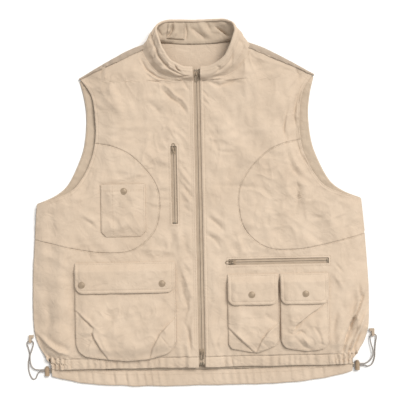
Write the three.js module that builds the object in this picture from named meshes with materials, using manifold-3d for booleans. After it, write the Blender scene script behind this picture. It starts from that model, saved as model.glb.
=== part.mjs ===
// A fishing vest lying on its back: a two-way zip front, a stand collar, snapped and zipped pockets,
// and a drawcord hem with a cord lock at each side. Millimetres: +X to the wearer's left, +Y to the
// collar, +Z up from the resting surface. The origin is on that surface, under the front zip.
import * as THREE from "three";
import { mergeVertices } from "three/addons/utils/BufferGeometryUtils.js";
import Module from "manifold-3d";

const wasm = await Module();
wasm.setup();

// ---- Driving dimensions ----
const cloth = 1.6; // shell cloth with its lining
const seamGap = 0.3; // between pieces that are sewn or fastened together
const halfWidth = 339; // half the width below the arms
const frontTop = 22; // face of the front panels above the resting surface
const flatHalf = 272; // the front is level out to here, then curves down to the side seam
const backHem = -367; // lowest point of the drop tail
const frontHem = -332; // lower edge of the front
const hemHalf = 303; // half the width along the gathered hem
const hemCornerRise = 23; // how far the tail curves up to the side
const casingHeight = 22; // drawcord casing round the hem
const frontCasingDepth = 6;
const casingWall = 1.2;
const yokeSeam = 195; // seam between the back panel and the yoke
const facingWidth = 24; // turned-in cloth round each armhole
const pit = { x: halfWidth - 12.5, y: 2.7 }; // top of the side seam
const shoulderTip = { x: 238, y: 253.5 };
const neckPoint = { x: 97, y: 322 }; // where the shoulder fold meets the collar
const frontNeck = 243; // lowest point of the neck seam
const collarThickness = 1.6;

// Zips: two rows of coil under two tapes, with a wire ring pull on each slider.
const zipBand = 13; // tape showing between the panel edges
const waistBand = 11.2;
const tapeWidth = 13;
const tapeThickness = 1;
const rowGap = 1.4; // between the two rows, for the slider's divider
const coilWidth = 2.6;
const coilDepth = 1.5;
const frontZipTop = 262;
const chestZip = { x: -49, bottom: -44, top: 114 };
const waistZip = { left: 55, right: 258, above: 210 }; // above the front hem
const sliderLength = 12;
const sliderWidth = 9;
const sliderPlate = 1.3;
const dividerWidth = 0.8;
const ringWire = 1.4;
const ringWidth = 7;
const ringLength = 16;
const bagDepth = 8; // zip pocket bags, below the front panel

// Pockets. Each is sewn down at its sides and bottom, and open along its top edge.
const pocketCloth = 1.4;
const mouthHeight = 6; // clear height under a pocket's top edge
const cargo = { left: -252, right: -50, flapAbove: 214, bottomAbove: 20, radius: 30, depth: 12 };
const inner = { left: 53, right: 155, flapAbove: 185.5, bottomAbove: 26, radius: 14, depth: 10 };
const outer = { left: 158, right: 256, flapAbove: 185.5, bottomAbove: 28, radius: 14, depth: 10 };
const chest = { left: -197, right: -107, top: 38, bottom: -67, chamfer: 11, depth: 7 };
const cargoFlap = { overhang: 1, drop: 61, radius: 20 };
const smallFlap = { overhang: 1, drop: 61, radius: 16 };
const mouthBelowHinge = 16;
const flapRamp = 15; // a flap climbs over the pocket's edge within this length
const snapPlay = 2.7; // between a flap and the pocket under it, filled by the snap

// Snap fasteners
const capRadius = 6.75;
const capThickness = 1.3;
const socketRadius = 4.6;
const socketWall = 2;
const studRadius = 2.2;
const postRadius = 1.6;
const flangeRadius = 4;
const snapSides = 12;

// Drawcords, their locks and the side tabs
const cordDiameter = 2.5;
const lockX = 313;
const lockY = -334;
const lockRadius = 4.75;
const lockBore = 3.3;
const plungerRadius = 3;
const plungerTravel = 3;
const cordPlay = 0.35; // round each strand, in the lock, the tab and the eyelet
const strand = cordDiameter * 0.65; // each strand's distance from the middle of the pair
const strandRoom = cordDiameter + 2 * cordPlay;
const lockSlot = { length: 2 * strand + strandRoom, height: strandRoom };
const lockEnd = 2.4; // wall beyond the slot, on the barrel and on the plunger
const springRoom = 4;
const springWire = 0.6;
const lockHeight = lockRadius + 0.25; // centre of the barrel, lying on the resting surface
const backCasingDepth = lockHeight + cordDiameter / 2 + casingWall + 0.55; // takes the cord in
const tab = { x: halfWidth + 7, y: -262, width: 5, length: 15, eye: cordDiameter + 0.9, wall: 0.9 };

// ---- Colours ----
const material = (color, roughness, metalness = 0) =>
  new THREE.MeshStandardMaterial({ color, roughness, metalness });
const shellCloth = material(0xe0c9ad, 0.9);
const liningCloth = material(0xcfb89c, 0.92);
const tapeCloth = material(0xb9a086, 0.85);
const coilNylon = material(0xa98f76, 0.5);
const paintedMetal = material(0xc4a98c, 0.45, 0.4);
const bareMetal = material(0xb8a58e, 0.35, 0.8);
const lockPlastic = material(0xa98a6c, 0.45);
const cordBraid = material(0x9b958f, 0.8);
const springSteel = material(0x8f8f8f, 0.3, 0.9);

// ---- Solid helpers ----
const vest = new THREE.Group();

function add(name, geometry, look, parent = vest) {
  const mesh = new THREE.Mesh(geometry, look);
  mesh.name = name;
  parent.add(mesh);
  return mesh;
}

function toSolid(geometry) {
  const bare = geometry.clone();
  bare.deleteAttribute("normal");
  bare.deleteAttribute("uv");
  const merged = mergeVertices(bare, 1e-4);
  const vertProperties = merged.attributes.position.array;
  const triVerts = Uint32Array.from(merged.index.array);
  return new wasm.Manifold(new wasm.Mesh({ numProp: 3, vertProperties, triVerts }));
}

function toGeometry(solid) {
  const mesh = solid.getMesh();
  const geometry = new THREE.BufferGeometry();
  geometry.setAttribute("position", new THREE.BufferAttribute(mesh.vertProperties, 3));
  geometry.setIndex(new THREE.BufferAttribute(mesh.triVerts, 1));
  geometry.computeVertexNormals();
  return geometry;
}

const join = (a, ...rest) => toGeometry(rest.reduce((s, g) => s.add(toSolid(g)), toSolid(a)));
const cut = (a, ...rest) => toGeometry(rest.reduce((s, g) => s.subtract(toSolid(g)), toSolid(a)));
const common = (a, b) => toGeometry(toSolid(a).intersect(toSolid(b)));

const points = (list) => list.map(([x, y]) => new THREE.Vector2(x, y));
const spline = (list, steps) => new THREE.SplineCurve(points(list)).getPoints(steps);

function box(x0, x1, y0, y1, z0, z1) {
  const geometry = new THREE.BoxGeometry(x1 - x0, y1 - y0, z1 - z0);
  return geometry.translate((x0 + x1) / 2, (y0 + y1) / 2, (z0 + z1) / 2);
}

// An outline in plan, raised from one height to another.
function plate(outline, low, high) {
  const options = { depth: high - low, bevelEnabled: false };
  return new THREE.ExtrudeGeometry(new THREE.Shape(outline), options).translate(0, 0, low);
}

// An (x, z) outline, run along Y.
function alongY(outline, y0, y1) {
  const options = { depth: y1 - y0, bevelEnabled: false };
  const geometry = new THREE.ExtrudeGeometry(new THREE.Shape(outline), options);
  return geometry.rotateX(Math.PI / 2).translate(0, y1, 0);
}

// A (y, z) outline, run along X.
function alongX(outline, x0, x1) {
  const options = { depth: x1 - x0, bevelEnabled: false };
  const geometry = new THREE.ExtrudeGeometry(new THREE.Shape(outline), options);
  const turn = new THREE.Matrix4().set(0, 0, 1, 0, 1, 0, 0, 0, 0, 1, 0, 0, 0, 0, 0, 1);
  return geometry.applyMatrix4(turn).translate(x0, 0, 0);
}

// The other side's copy of an outline or of a solid.
const mirrored = (outline) => outline.map((p) => new THREE.Vector2(-p.x, p.y)).reverse();

// A line moved sideways by a distance, to its right as it runs.
function offsetLine(line, distance) {
  return line.map((p, i) => {
    const before = line[Math.max(i - 1, 0)];
    const after = line[Math.min(i + 1, line.length - 1)];
    const way = after.clone().sub(before).normalize();
    return new THREE.Vector2(p.x + way.y * distance, p.y - way.x * distance);
  });
}

// A round bar along a smooth curve through 3-D points.
function bar(route, radius, steps, sides) {
  const path = new THREE.CatmullRomCurve3(route, false, "centripetal");
  const options = { steps, extrudePath: path, bevelEnabled: false };
  const ring = Array.from({ length: sides }, (_, i) => {
    const angle = (2 * Math.PI * i) / sides;
    return new THREE.Vector2(radius * Math.cos(angle), radius * Math.sin(angle));
  });
  return new THREE.ExtrudeGeometry(new THREE.Shape(ring), options);
}

// ---- The laid-out shape: the front is a level face that curves down to the back at the sides ----
const edgeTop = 2 * cloth + seamGap;

function frontHeight(x) {
  const over = Math.min(Math.max(Math.abs(x) - flatHalf, 0) / (halfWidth - flatHalf), 1);
  return edgeTop + (frontTop - edgeTop) * Math.cos((over * Math.PI) / 2);
}

// The front's section across the body, between two depths below its face.
function frontSection(above, below) {
  const steps = 6;
  const half = [new THREE.Vector2(halfWidth + 30, edgeTop)];
  for (let i = steps; i >= 0; i -= 1) {
    const x = flatHalf + ((halfWidth - flatHalf) * i) / steps;
    half.push(new THREE.Vector2(x, frontHeight(x)));
  }
  const top = [...half, ...half.map((p) => new THREE.Vector2(-p.x, p.y)).reverse()];
  const lower = top.map((p) => new THREE.Vector2(p.x, p.y - below)).reverse();
  return [...top.map((p) => new THREE.Vector2(p.x, p.y - above)), ...lower];
}

const reach = 420;

function onFront(outline, above = 0, below = cloth) {
  const section = alongY(frontSection(above, below), -reach, reach);
  return common(plate(outline, -20, 60), section);
}

const tailEdge = (x) => backHem + hemCornerRise * (x / hemHalf) ** 4;

// Half outlines, on the +X side.
const backArmhole = spline(
  [[shoulderTip.x, shoulderTip.y], [228, 214], [224, 172], [228.5, 123], [240, 86], [263, 41],
    [290, 18], [pit.x, pit.y]],
  20,
);
const frontArmhole = spline(
  [[shoulderTip.x - 2, shoulderTip.y], [213, 219], [205.5, 171], [207, 122], [222, 73], [249, 32],
    [284, 14], [pit.x - 1.5, pit.y + 0.3]],
  21,
);
const sideSeam = spline(
  [[pit.x, pit.y], [halfWidth - 6, -70], [halfWidth - 1, -150], [halfWidth, -210],
    [halfWidth - 2, -255], [halfWidth - 11, -286], [hemHalf + 10, -308], [hemHalf, -322]],
  18,
);
const shoulderFold = spline(
  [[neckPoint.x, neckPoint.y], [134, 308.5], [169, 291], [shoulderTip.x, shoulderTip.y]],
  6,
);
const shoulderSeam = spline(
  [[neckPoint.x + 11, neckPoint.y - 15], [136, 295.5], [170, 280.5], [205, 267],
    [shoulderTip.x - 2, shoulderTip.y]],
  6,
);
const neckSeam = spline(
  [[zipBand / 2, frontNeck], [28, frontNeck + 0.5], [72, frontNeck + 16], [97, frontNeck + 42],
    [neckPoint.x + 11, neckPoint.y - 15]],
  10,
);

// The armhole inset: from the armhole, round on the chest, and back out to the side seam.
const insetStart = 9; // point of the front armhole where the inset's seam begins
const insetEndY = -70;
const sideAt = (y) => sideSeam.find((p) => p.y < y).x;
const insetSeam = spline(
  [[frontArmhole[insetStart].x, frontArmhole[insetStart].y], [168, 113], [130, 92], [90, 45],
    [79, 0], [90, -55], [130, -92], [180, -99], [240, -92], [sideAt(insetEndY), insetEndY]],
  30,
);

// ---- Back, yoke and hem ----
const casingTopLine = [];
const tailLine = [];
for (let i = -12; i <= 12; i += 1) {
  const x = (hemHalf * i) / 12;
  casingTopLine.push(new THREE.Vector2(x, tailEdge(x) + casingHeight));
  tailLine.push(new THREE.Vector2(x, tailEdge(x)));
}
const armholeBelowYoke = backArmhole.filter((p) => p.y < yokeSeam);
const armholeAboveYoke = backArmhole.filter((p) => p.y > yokeSeam);
const yokeCornerX = (armholeBelowYoke[0].x + armholeAboveYoke.at(-1).x) / 2;
const backSide = [...armholeBelowYoke, ...sideSeam.slice(1, -1)];
add(
  "back_panel",
  plate(
    [
      ...casingTopLine.map((p) => new THREE.Vector2(p.x, p.y + seamGap)),
      ...backSide.toReversed(),
      new THREE.Vector2(yokeCornerX, yokeSeam - seamGap),
      new THREE.Vector2(-yokeCornerX, yokeSeam - seamGap),
      ...mirrored(backSide).toReversed(),
    ],
    0,
    cloth,
  ),
  liningCloth,
);

// The yoke runs up the back, over the shoulder fold and 12 mm down onto the front.
const yokeSide = [new THREE.Vector2(yokeCornerX, yokeSeam), ...armholeAboveYoke.toReversed()];
const yokeHalf = [...yokeSide, ...shoulderFold.slice(0, -1).toReversed()];
const yokeFlat = plate([...yokeHalf, ...mirrored(yokeHalf)], 0, cloth);
const overSeam = offsetLine(shoulderSeam, -seamGap);
const foldStrip = [...shoulderFold, ...overSeam.slice(0, -1).toReversed()];
const foldSlope = Math.atan2(neckPoint.y - shoulderTip.y, shoulderTip.x - neckPoint.x);

function shoulderWrap(side) {
  const strip = side > 0 ? foldStrip : mirrored(foldStrip);
  const inside = plate(strip, cloth, frontTop - cloth);
  inside.translate(-side * cloth * Math.sin(foldSlope), -cloth * Math.cos(foldSlope), 0);
  const mouth = plate(strip, cloth, frontTop - cloth).translate(0, -12, 0);
  return cut(plate(strip, 0, frontTop), inside, mouth);
}

add("back_yoke", join(yokeFlat, shoulderWrap(1), shoulderWrap(-1)), shellCloth);

// The cord's channel follows the casing's edges, and runs out through both ends.
function channelEdge(line, rise) {
  const beyond = (p, way) => new THREE.Vector2(p.x + way * 20, p.y);
  const whole = [beyond(line[0], -1), ...line, beyond(line.at(-1), 1)];
  return whole.map((p) => new THREE.Vector2(p.x, p.y + rise));
}

const casingRoom = channelEdge(casingTopLine, -casingWall);
const tailRoom = channelEdge(tailLine, casingWall);
add(
  "back_hem_casing",
  cut(
    plate([...tailLine, ...casingTopLine.toReversed()], 0, backCasingDepth),
    plate([...tailRoom, ...casingRoom.toReversed()], casingWall, backCasingDepth - casingWall),
  ),
  shellCloth,
);

const facingLow = cloth + seamGap;
const facingTop = shoulderTip.y - 14; // clear of the shoulder fold
const facingOut = backArmhole.filter((p) => p.y < facingTop);
const facingIn = offsetLine(backArmhole, facingWidth)
  .filter((p) => p.x < pit.x - 8 && p.y < facingTop);
const facingOutline = [...facingOut, ...facingIn.toReversed()];
add("left_armhole_facing", plate(facingOutline, facingLow, facingLow + 1.2), liningCloth);
add("right_armhole_facing", plate(mirrored(facingOutline), facingLow, facingLow + 1.2), liningCloth);

// ---- Front panels and their armhole insets ----
const casingLine = frontHem + casingHeight;
const sideAboveHem = sideSeam.filter((p) => p.y > casingLine + 6);
const lowerSide = sideAboveHem.filter((p) => p.y < insetEndY);
const frontHalf = [
  new THREE.Vector2(zipBand / 2, casingLine + seamGap),
  new THREE.Vector2(hemHalf + 8, casingLine + seamGap),
  ...lowerSide.toReversed(),
  ...insetSeam.toReversed(),
  ...frontArmhole.slice(0, insetStart).toReversed(),
  ...shoulderSeam.slice(0, -1).toReversed(),
  ...neckSeam.slice(0, -1).toReversed(),
];
const insetHalf = [
  ...offsetLine(insetSeam, -seamGap).slice(1),
  ...sideAboveHem.filter((p) => p.y > insetEndY + 2).toReversed(),
  ...frontArmhole.slice(insetStart + 1, -1).toReversed(),
];

const waistY = frontHem + waistZip.above;
const waistWindow = box(
  waistZip.left, waistZip.right, waistY - waistBand / 2, waistY + waistBand / 2, 0, 60,
);
const chestWindow = box(
  chestZip.x - zipBand / 2, chestZip.x + zipBand / 2, chestZip.bottom, chestZip.top, 0, 60,
);
const chestSnap = { x: (chest.left + chest.right) / 2 + 2.5, y: chest.top - 13.5 };
const holeRadius = postRadius + seamGap;

function hole(x, y) {
  const drill = new THREE.CylinderGeometry(holeRadius, holeRadius, 80, snapSides);
  return drill.rotateX(Math.PI / 2).translate(x, y, 20);
}

add("left_front_panel", cut(onFront(frontHalf), waistWindow), shellCloth);
add(
  "right_front_panel",
  cut(onFront(mirrored(frontHalf)), chestWindow, hole(chestSnap.x, chestSnap.y)),
  shellCloth,
);
add("left_armhole_inset", onFront(insetHalf), shellCloth);
add(
  "right_armhole_inset",
  cut(onFront(mirrored(insetHalf)), hole(chestSnap.x, chestSnap.y)),
  shellCloth,
);

// The front hem casing is a flat tube for the drawcord, open at the zip and at the side.
function frontCasing(side) {
  const strip = (x0, x1, y0, y1) => points([[x0, y0], [x1, y0], [x1, y1], [x0, y1]]);
  const place = (outline) => (side > 0 ? outline : mirrored(outline));
  const whole = place(strip(zipBand / 2 + 4, hemHalf - 4, frontHem, casingLine));
  const room = place(strip(0, hemHalf + 20, frontHem + casingWall, casingLine - casingWall));
  const deep = frontCasingDepth - casingWall;
  return cut(onFront(whole, 0, frontCasingDepth), onFront(room, casingWall, deep));
}

add("left_hem_casing", frontCasing(1), shellCloth);
add("right_hem_casing", frontCasing(-1), shellCloth);

// ---- Collar: an outer band and a lining band, from the neck seam to the top edge ----
const seamLift = frontTop + collarThickness + 0.6;
const collarSeam = [
  [zipBand / 2 + 1, frontNeck + 1, seamLift], [28, frontNeck + 1.5, seamLift],
  [71, frontNeck + 17, seamLift], [95, frontNeck + 43, seamLift], [103, 309, seamLift],
  [97, 321, seamLift], [86, 327, 18], [66, 328, 8], [34, 325, 2.6], [0, 324, 2.2],
];
const collarTop = [
  [zipBand / 2 + 1, 266, 31], [28, 268, 34], [54, 282, 40], [70, 304, 45], [77, 324, 46],
  [80, 340, 43], [77, 355, 33], [60, 366, 17], [32, 368, 8], [0, 367.5, 4.6],
];
const closeLoop = (half) => [...half, ...half.slice(0, -1).toReversed().map(([x, y, z]) => [-x, y, z])];

function collarCurve(half) {
  const vectors = closeLoop(half).map(([x, y, z]) => new THREE.Vector3(x, y, z));
  return new THREE.CatmullRomCurve3(vectors, false, "centripetal");
}

// One layer of the collar, between two depths behind its outer face.
function collarLayer(outside, inside, topDrop) {
  const low = collarCurve(collarSeam);
  const high = collarCurve(collarTop);
  const around = 44;
  const up = 3;
  const face = (u, v) => low.getPoint(u).lerp(high.getPoint(u), v);
  const place = (i, j, depth) => {
    const u = i / around;
    const v = (j / up) * topDrop;
    const step = 0.004;
    const alongU = face(Math.min(u + step, 1), v).sub(face(Math.max(u - step, 0), v));
    const alongV = face(u, 1).sub(face(u, 0));
    const normal = alongU.cross(alongV).normalize();
    return face(u, v).addScaledVector(normal, -depth);
  };
  const position = [];
  const index = [];
  const at = (layer, i, j) => (layer * (around + 1) + i) * (up + 1) + j;
  for (const depth of [outside, inside]) {
    for (let i = 0; i <= around; i += 1) {
      for (let j = 0; j <= up; j += 1) position.push(...place(i, j, depth).toArray());
    }
  }
  const quad = (a, b, c, d) => index.push(a, b, c, a, c, d);
  for (let i = 0; i < around; i += 1) {
    for (let j = 0; j < up; j += 1) {
      quad(at(0, i, j), at(0, i + 1, j), at(0, i + 1, j + 1), at(0, i, j + 1));
      quad(at(1, i, j), at(1, i, j + 1), at(1, i + 1, j + 1), at(1, i + 1, j));
    }
    quad(at(0, i, 0), at(1, i, 0), at(1, i + 1, 0), at(0, i + 1, 0));
    quad(at(0, i, up), at(0, i + 1, up), at(1, i + 1, up), at(1, i, up));
  }
  for (let j = 0; j < up; j += 1) {
    quad(at(0, 0, j), at(0, 0, j + 1), at(1, 0, j + 1), at(1, 0, j));
    quad(at(0, around, j), at(1, around, j), at(1, around, j + 1), at(0, around, j + 1));
  }
  const geometry = new THREE.BufferGeometry();
  geometry.setAttribute("position", new THREE.Float32BufferAttribute(position, 3));
  geometry.setIndex(index);
  geometry.computeVertexNormals();
  return geometry;
}

add("collar_outer", collarLayer(0, collarThickness, 1), shellCloth);
add(
  "collar_lining",
  collarLayer(collarThickness + seamGap, 2 * collarThickness + seamGap, 0.96),
  liningCloth,
);

// ---- Zips ----
const tapeTop = frontTop - cloth - seamGap;
const coilTop = tapeTop - tapeThickness - seamGap;
const sliderTop = tapeTop + seamGap + sliderPlate;
const sliderBottom = coilTop - coilDepth - seamGap - sliderPlate;
const bailWall = 0.9;
const bailLength = 6;
const bailRoom = ringWire + 1.1;
const ringHeight = sliderTop + 0.7 + ringWire / 2;

// A slider centred on the zip at y, with its bail on top.
function slider(y) {
  const half = sliderWidth / 2;
  const web = dividerWidth / 2;
  const under = sliderBottom + sliderPlate;
  const over = sliderTop - sliderPlate;
  const section = points([
    [-half, sliderBottom], [half, sliderBottom], [half, under], [web, under], [web, over],
    [half, over], [half, sliderTop], [-half, sliderTop], [-half, over], [-web, over],
    [-web, under], [-half, under],
  ]);
  const body = alongY(section, y - sliderLength / 2, y + sliderLength / 2);
  const bailTop = sliderTop + bailRoom + bailWall;
  const legs = bailLength / 2;
  const inLegs = legs - bailWall;
  const bail = points([
    [y - legs, sliderTop - 0.5], [y - inLegs, sliderTop - 0.5], [y - inLegs, bailTop - bailWall],
    [y + inLegs, bailTop - bailWall], [y + inLegs, sliderTop - 0.5], [y + legs, sliderTop - 0.5],
    [y + legs, bailTop - 0.6], [y + legs - 0.6, bailTop], [y - legs + 0.6, bailTop],
    [y - legs, bailTop - 0.6],
  ]);
  return join(body, alongX(bail, -1.1, 1.1));
}

// A wire ring lying flat, hooked under the bail at y and reaching towards +Y or -Y.
function ringPull(y, way) {
  const side = ringWidth / 2 - ringWire / 2;
  const long = ringLength - ringWire;
  const loop = [
    [0, 0], [side - 0.7, 0.1], [side, 1.2], [side, long * 0.5], [side, long - 2.4],
    [side * 0.6, long - 0.5], [0, long], [-side * 0.6, long - 0.5], [-side, long - 2.4],
    [-side, long * 0.5], [-side, 1.2], [-side + 0.7, 0.1],
  ];
  const route = loop.map(([x, z]) => new THREE.Vector3(x, 0, z));
  const ring = closedBar(route, ringWire / 2, 28, 6);
  return ring.rotateX(way > 0 ? -Math.PI / 2 : Math.PI / 2).translate(0, y, ringHeight);
}

// A closed loop of round wire lying in the XZ plane.
function closedBar(route, radius, steps, sides) {
  const path = new THREE.CatmullRomCurve3(route, true, "centripetal");
  const position = [];
  const index = [];
  for (let i = 0; i < steps; i += 1) {
    const centre = path.getPointAt(i / steps);
    const way = path.getTangentAt(i / steps);
    const outward = new THREE.Vector3(way.z, 0, -way.x).normalize();
    for (let j = 0; j < sides; j += 1) {
      const angle = (2 * Math.PI * j) / sides;
      const place = centre.clone().addScaledVector(outward, radius * Math.cos(angle));
      place.y += radius * Math.sin(angle);
      position.push(...place.toArray());
      const next = (i + 1) % steps;
      const a = i * sides + j;
      const b = i * sides + ((j + 1) % sides);
      const c = next * sides + ((j + 1) % sides);
      const d = next * sides + j;
      index.push(a, b, c, a, c, d);
    }
  }
  const geometry = new THREE.BufferGeometry();
  geometry.setAttribute("position", new THREE.Float32BufferAttribute(position, 3));
  geometry.setIndex(index);
  geometry.computeVertexNormals();
  return geometry;
}

// A closed zip for a pocket, in its own group: it runs along the group's Y, slider at the +Y end.
function pocketZip(name, length, group) {
  const half = length / 2;
  const over = 8; // tape beyond each end of the window
  const slotHalf = half - 4;
  const slot = (z0, z1) => box(-rowGap / 2, rowGap / 2, -slotHalf, slotHalf, z0, z1);
  const wide = tapeWidth + rowGap / 2;
  const tapes = box(-wide, wide, -half - over, half + over, tapeTop - tapeThickness, tapeTop);
  add(`${name}_tape`, cut(tapes, slot(0, 60)), tapeCloth, group);
  const rows = coilWidth + rowGap / 2;
  const coil = box(-rows, rows, -half, half, coilTop - coilDepth, coilTop);
  add(`${name}_coil`, cut(coil, slot(0, 60)), coilNylon, group);
  const sliderY = slotHalf - sliderLength / 2 - 0.5;
  add(`${name}_slider`, slider(sliderY), paintedMetal, group);
  add(`${name}_pull`, ringPull(sliderY, 1), bareMetal, group);
}

const chestZipLength = chestZip.top - chestZip.bottom;
const chestGroup = new THREE.Group();
chestGroup.position.set(chestZip.x, (chestZip.top + chestZip.bottom) / 2, 0);
vest.add(chestGroup);
pocketZip("chest_zip", chestZipLength, chestGroup);

const waistZipLength = waistZip.right - waistZip.left;
const waistGroup = new THREE.Group();
waistGroup.position.set((waistZip.left + waistZip.right) / 2, waistY, 0);
waistGroup.rotation.z = Math.PI / 2;
vest.add(waistGroup);
pocketZip("waist_zip", waistZipLength, waistGroup);

const frontZipBottom = frontHem + 26;
for (const [name, side] of [["left", 1], ["right", -1]]) {
  const near = side * (rowGap / 2);
  const far = side * (rowGap / 2 + tapeWidth);
  const coilFar = side * (rowGap / 2 + coilWidth);
  const [x0, x1] = [Math.min(near, far), Math.max(near, far)];
  const [c0, c1] = [Math.min(near, coilFar), Math.max(near, coilFar)];
  const tape = box(x0, x1, frontZipBottom, frontZipTop + 5, tapeTop - tapeThickness, tapeTop);
  add(`${name}_zip_tape`, tape, tapeCloth);
  const coil = box(c0, c1, frontZipBottom, frontZipTop, coilTop - coilDepth, coilTop);
  add(`${name}_zip_coil`, coil, coilNylon);
}
const topSliderY = frontZipTop - sliderLength / 2;
const bottomSliderY = frontZipBottom + sliderLength / 2;
add("top_slider", slider(topSliderY), paintedMetal);
add("top_slider_pull", ringPull(topSliderY, -1), bareMetal);
add("bottom_slider", slider(bottomSliderY), paintedMetal);
add("bottom_slider_pull", ringPull(bottomSliderY, -1), bareMetal);

// The bag behind each pocket zip: a shallow tray under the panel, open towards the zip.
function zipBag(x0, x1, y0, y1) {
  const top = frontTop - cloth - seamGap;
  const low = top - bagDepth;
  const wall = 1.2;
  const room = box(x0 + wall, x1 - wall, y0 + wall, y1 - wall, low + wall, top + 1);
  return cut(box(x0, x1, y0, y1, low, top), room);
}

add("chest_zip_bag", zipBag(chestZip.x - 84, chestZip.x + 30, chestZip.bottom - 14, chestZip.top + 12),
  liningCloth);
add("waist_zip_bag", zipBag(waistZip.left - 14, waistZip.right + 12, waistY - 104, waistY + 18),
  liningCloth);

// ---- Pockets ----
function pocketOutline(pocket, top, bottom, inset, openTop) {
  const left = pocket.left + inset;
  const right = pocket.right - inset;
  const low = bottom + inset;
  const corner = (pocket.radius ?? pocket.chamfer) - inset;
  const steps = pocket.radius ? 5 : 1;
  const outline = [];
  for (let i = 0; i <= steps; i += 1) {
    const angle = (Math.PI / 2) * (i / steps);
    outline.push(new THREE.Vector2(
      left + corner * (1 - Math.cos(angle)),
      low + corner * (1 - Math.sin(angle)),
    ));
  }
  const rightSide = outline.map((p) => new THREE.Vector2(left + right - p.x, p.y)).reverse();
  return [...outline, ...rightSide, new THREE.Vector2(right, top + openTop),
    new THREE.Vector2(left, top + openTop)];
}

// A pocket's roof is level at the mouth, then rises to its full depth above the panel.
function pouch(pocket, top, bottom) {
  const foot = frontTop + seamGap;
  const levelEnd = top - 52 * ((top - bottom) / 178);
  const roof = (drop) => points([
    [top + 20, -5], [top + 20, frontTop + mouthHeight + pocketCloth - drop],
    [levelEnd, frontTop + mouthHeight + pocketCloth - drop],
    [levelEnd - 0.45 * (levelEnd - bottom), frontTop + pocket.depth + pocketCloth - drop],
    [bottom + 14, frontTop + pocket.depth + pocketCloth - drop],
    [bottom - 1, frontTop + 0.5 * pocket.depth + pocketCloth - drop],
    [bottom - 1, -5],
  ].toReversed());
  const outside = plate(pocketOutline(pocket, top, bottom, 0, 0), foot, 80);
  const inside = plate(pocketOutline(pocket, top, bottom, pocketCloth, 5), foot - 1, 80);
  const shell = common(outside, alongX(roof(0), -reach, reach));
  return cut(shell, common(inside, alongX(roof(pocketCloth), -reach, reach)));
}

function flap(pocket, size, hinge) {
  const low = frontTop + seamGap;
  const high = frontTop + mouthHeight + pocketCloth + snapPlay;
  const tip = hinge - size.drop;
  const section = points([
    [hinge, low], [hinge, low + cloth], [hinge - flapRamp, high + cloth], [tip, high + cloth],
    [tip, high], [hinge - flapRamp - 0.6, high],
  ]);
  const wide = {
    left: pocket.left + size.overhang, right: pocket.right - size.overhang, radius: size.radius,
  };
  return common(
    alongX(section, -reach, reach),
    plate(pocketOutline(wide, hinge, tip, 0, 5), 0, 80),
  );
}

// The cap and its socket are clinched through the outer cloth, the stud through the cloth under it.
function lathe(profile, x, y, z) {
  const spun = new THREE.LatheGeometry(points(profile), snapSides);
  return mergeVertices(bareCopy(spun.rotateX(Math.PI / 2)), 1e-4).translate(x, y, z);
}

function bareCopy(geometry) {
  geometry.deleteAttribute("normal");
  geometry.deleteAttribute("uv");
  return geometry;
}

function snap(name, x, y, outerLow, outerThick, innerTop, innerThick) {
  const play = outerLow - innerTop;
  const socketLow = 0.5;
  const socketHigh = play - seamGap;
  const capLow = play + outerThick + seamGap;
  add(`${name}_cap`, lathe([
    [0, socketHigh - 0.4], [socketRadius - socketWall + 0.2, socketHigh - 0.4],
    [socketRadius - socketWall + 0.2, socketLow], [socketRadius, socketLow],
    [socketRadius, socketHigh], [postRadius, socketHigh], [postRadius, capLow],
    [capRadius, capLow], [capRadius - 0.5, capLow + 0.7 * capThickness],
    [0, capLow + capThickness],
  ], x, y, innerTop), paintedMetal);
  const flangeTop = -innerThick - seamGap;
  add(`${name}_stud`, lathe([
    [0, flangeTop - 0.8], [flangeRadius, flangeTop - 0.8], [flangeRadius, flangeTop],
    [postRadius, flangeTop], [postRadius, seamGap], [studRadius, seamGap + 0.2],
    [studRadius, socketHigh - 1.1], [0, socketHigh - 0.8],
  ], x, y, innerTop), bareMetal);
}

const mouthTop = frontTop + mouthHeight + pocketCloth;
const flapLow = mouthTop + snapPlay;

function flapPocket(name, pocket, size, snapXs, snapAboveTip) {
  const hinge = frontHem + pocket.flapAbove;
  const top = hinge - mouthBelowHinge;
  const bottom = frontHem + pocket.bottomAbove;
  const snapY = hinge - size.drop + snapAboveTip;
  const holes = snapXs.map((x) => hole(x, snapY));
  add(`${name}_pocket`, cut(pouch(pocket, top, bottom), ...holes), shellCloth);
  add(`${name}_flap`, cut(flap(pocket, size, hinge), ...holes), shellCloth);
  snapXs.forEach((x, i) => {
    const label = snapXs.length > 1 ? `${name}_snap_${i + 1}` : `${name}_snap`;
    snap(label, x, snapY, flapLow, cloth, mouthTop, pocketCloth);
  });
}

flapPocket("cargo", cargo, cargoFlap, [cargo.left + 15.5, cargo.right - 26.5], 18.5);
flapPocket("inner", inner, smallFlap, [(inner.left + inner.right) / 2 - 2.5], 21);
flapPocket("outer", outer, smallFlap, [(outer.left + outer.right) / 2 + 2], 21);

add(
  "chest_pocket",
  cut(pouch(chest, chest.top, chest.bottom), hole(chestSnap.x, chestSnap.y)),
  shellCloth,
);
snap("chest_snap", chestSnap.x, chestSnap.y, frontTop + mouthHeight, pocketCloth, frontTop, cloth);

// ---- Cord locks, eyelets, tabs and drawcords at both ends of the hem ----
const slotHalf = lockSlot.length / 2;
const barrelEnd = slotHalf + lockEnd;
const plungerFoot = -slotHalf - 2;
const springFoot = plungerFoot - springRoom;

function upright(radius, y0, y1, sides) {
  const rod = new THREE.CylinderGeometry(radius, radius, y1 - y0, sides);
  return rod.translate(0, (y0 + y1) / 2, 0);
}

function lockAt(side, geometry) {
  return geometry.translate(side * lockX, lockY, lockHeight);
}

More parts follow.
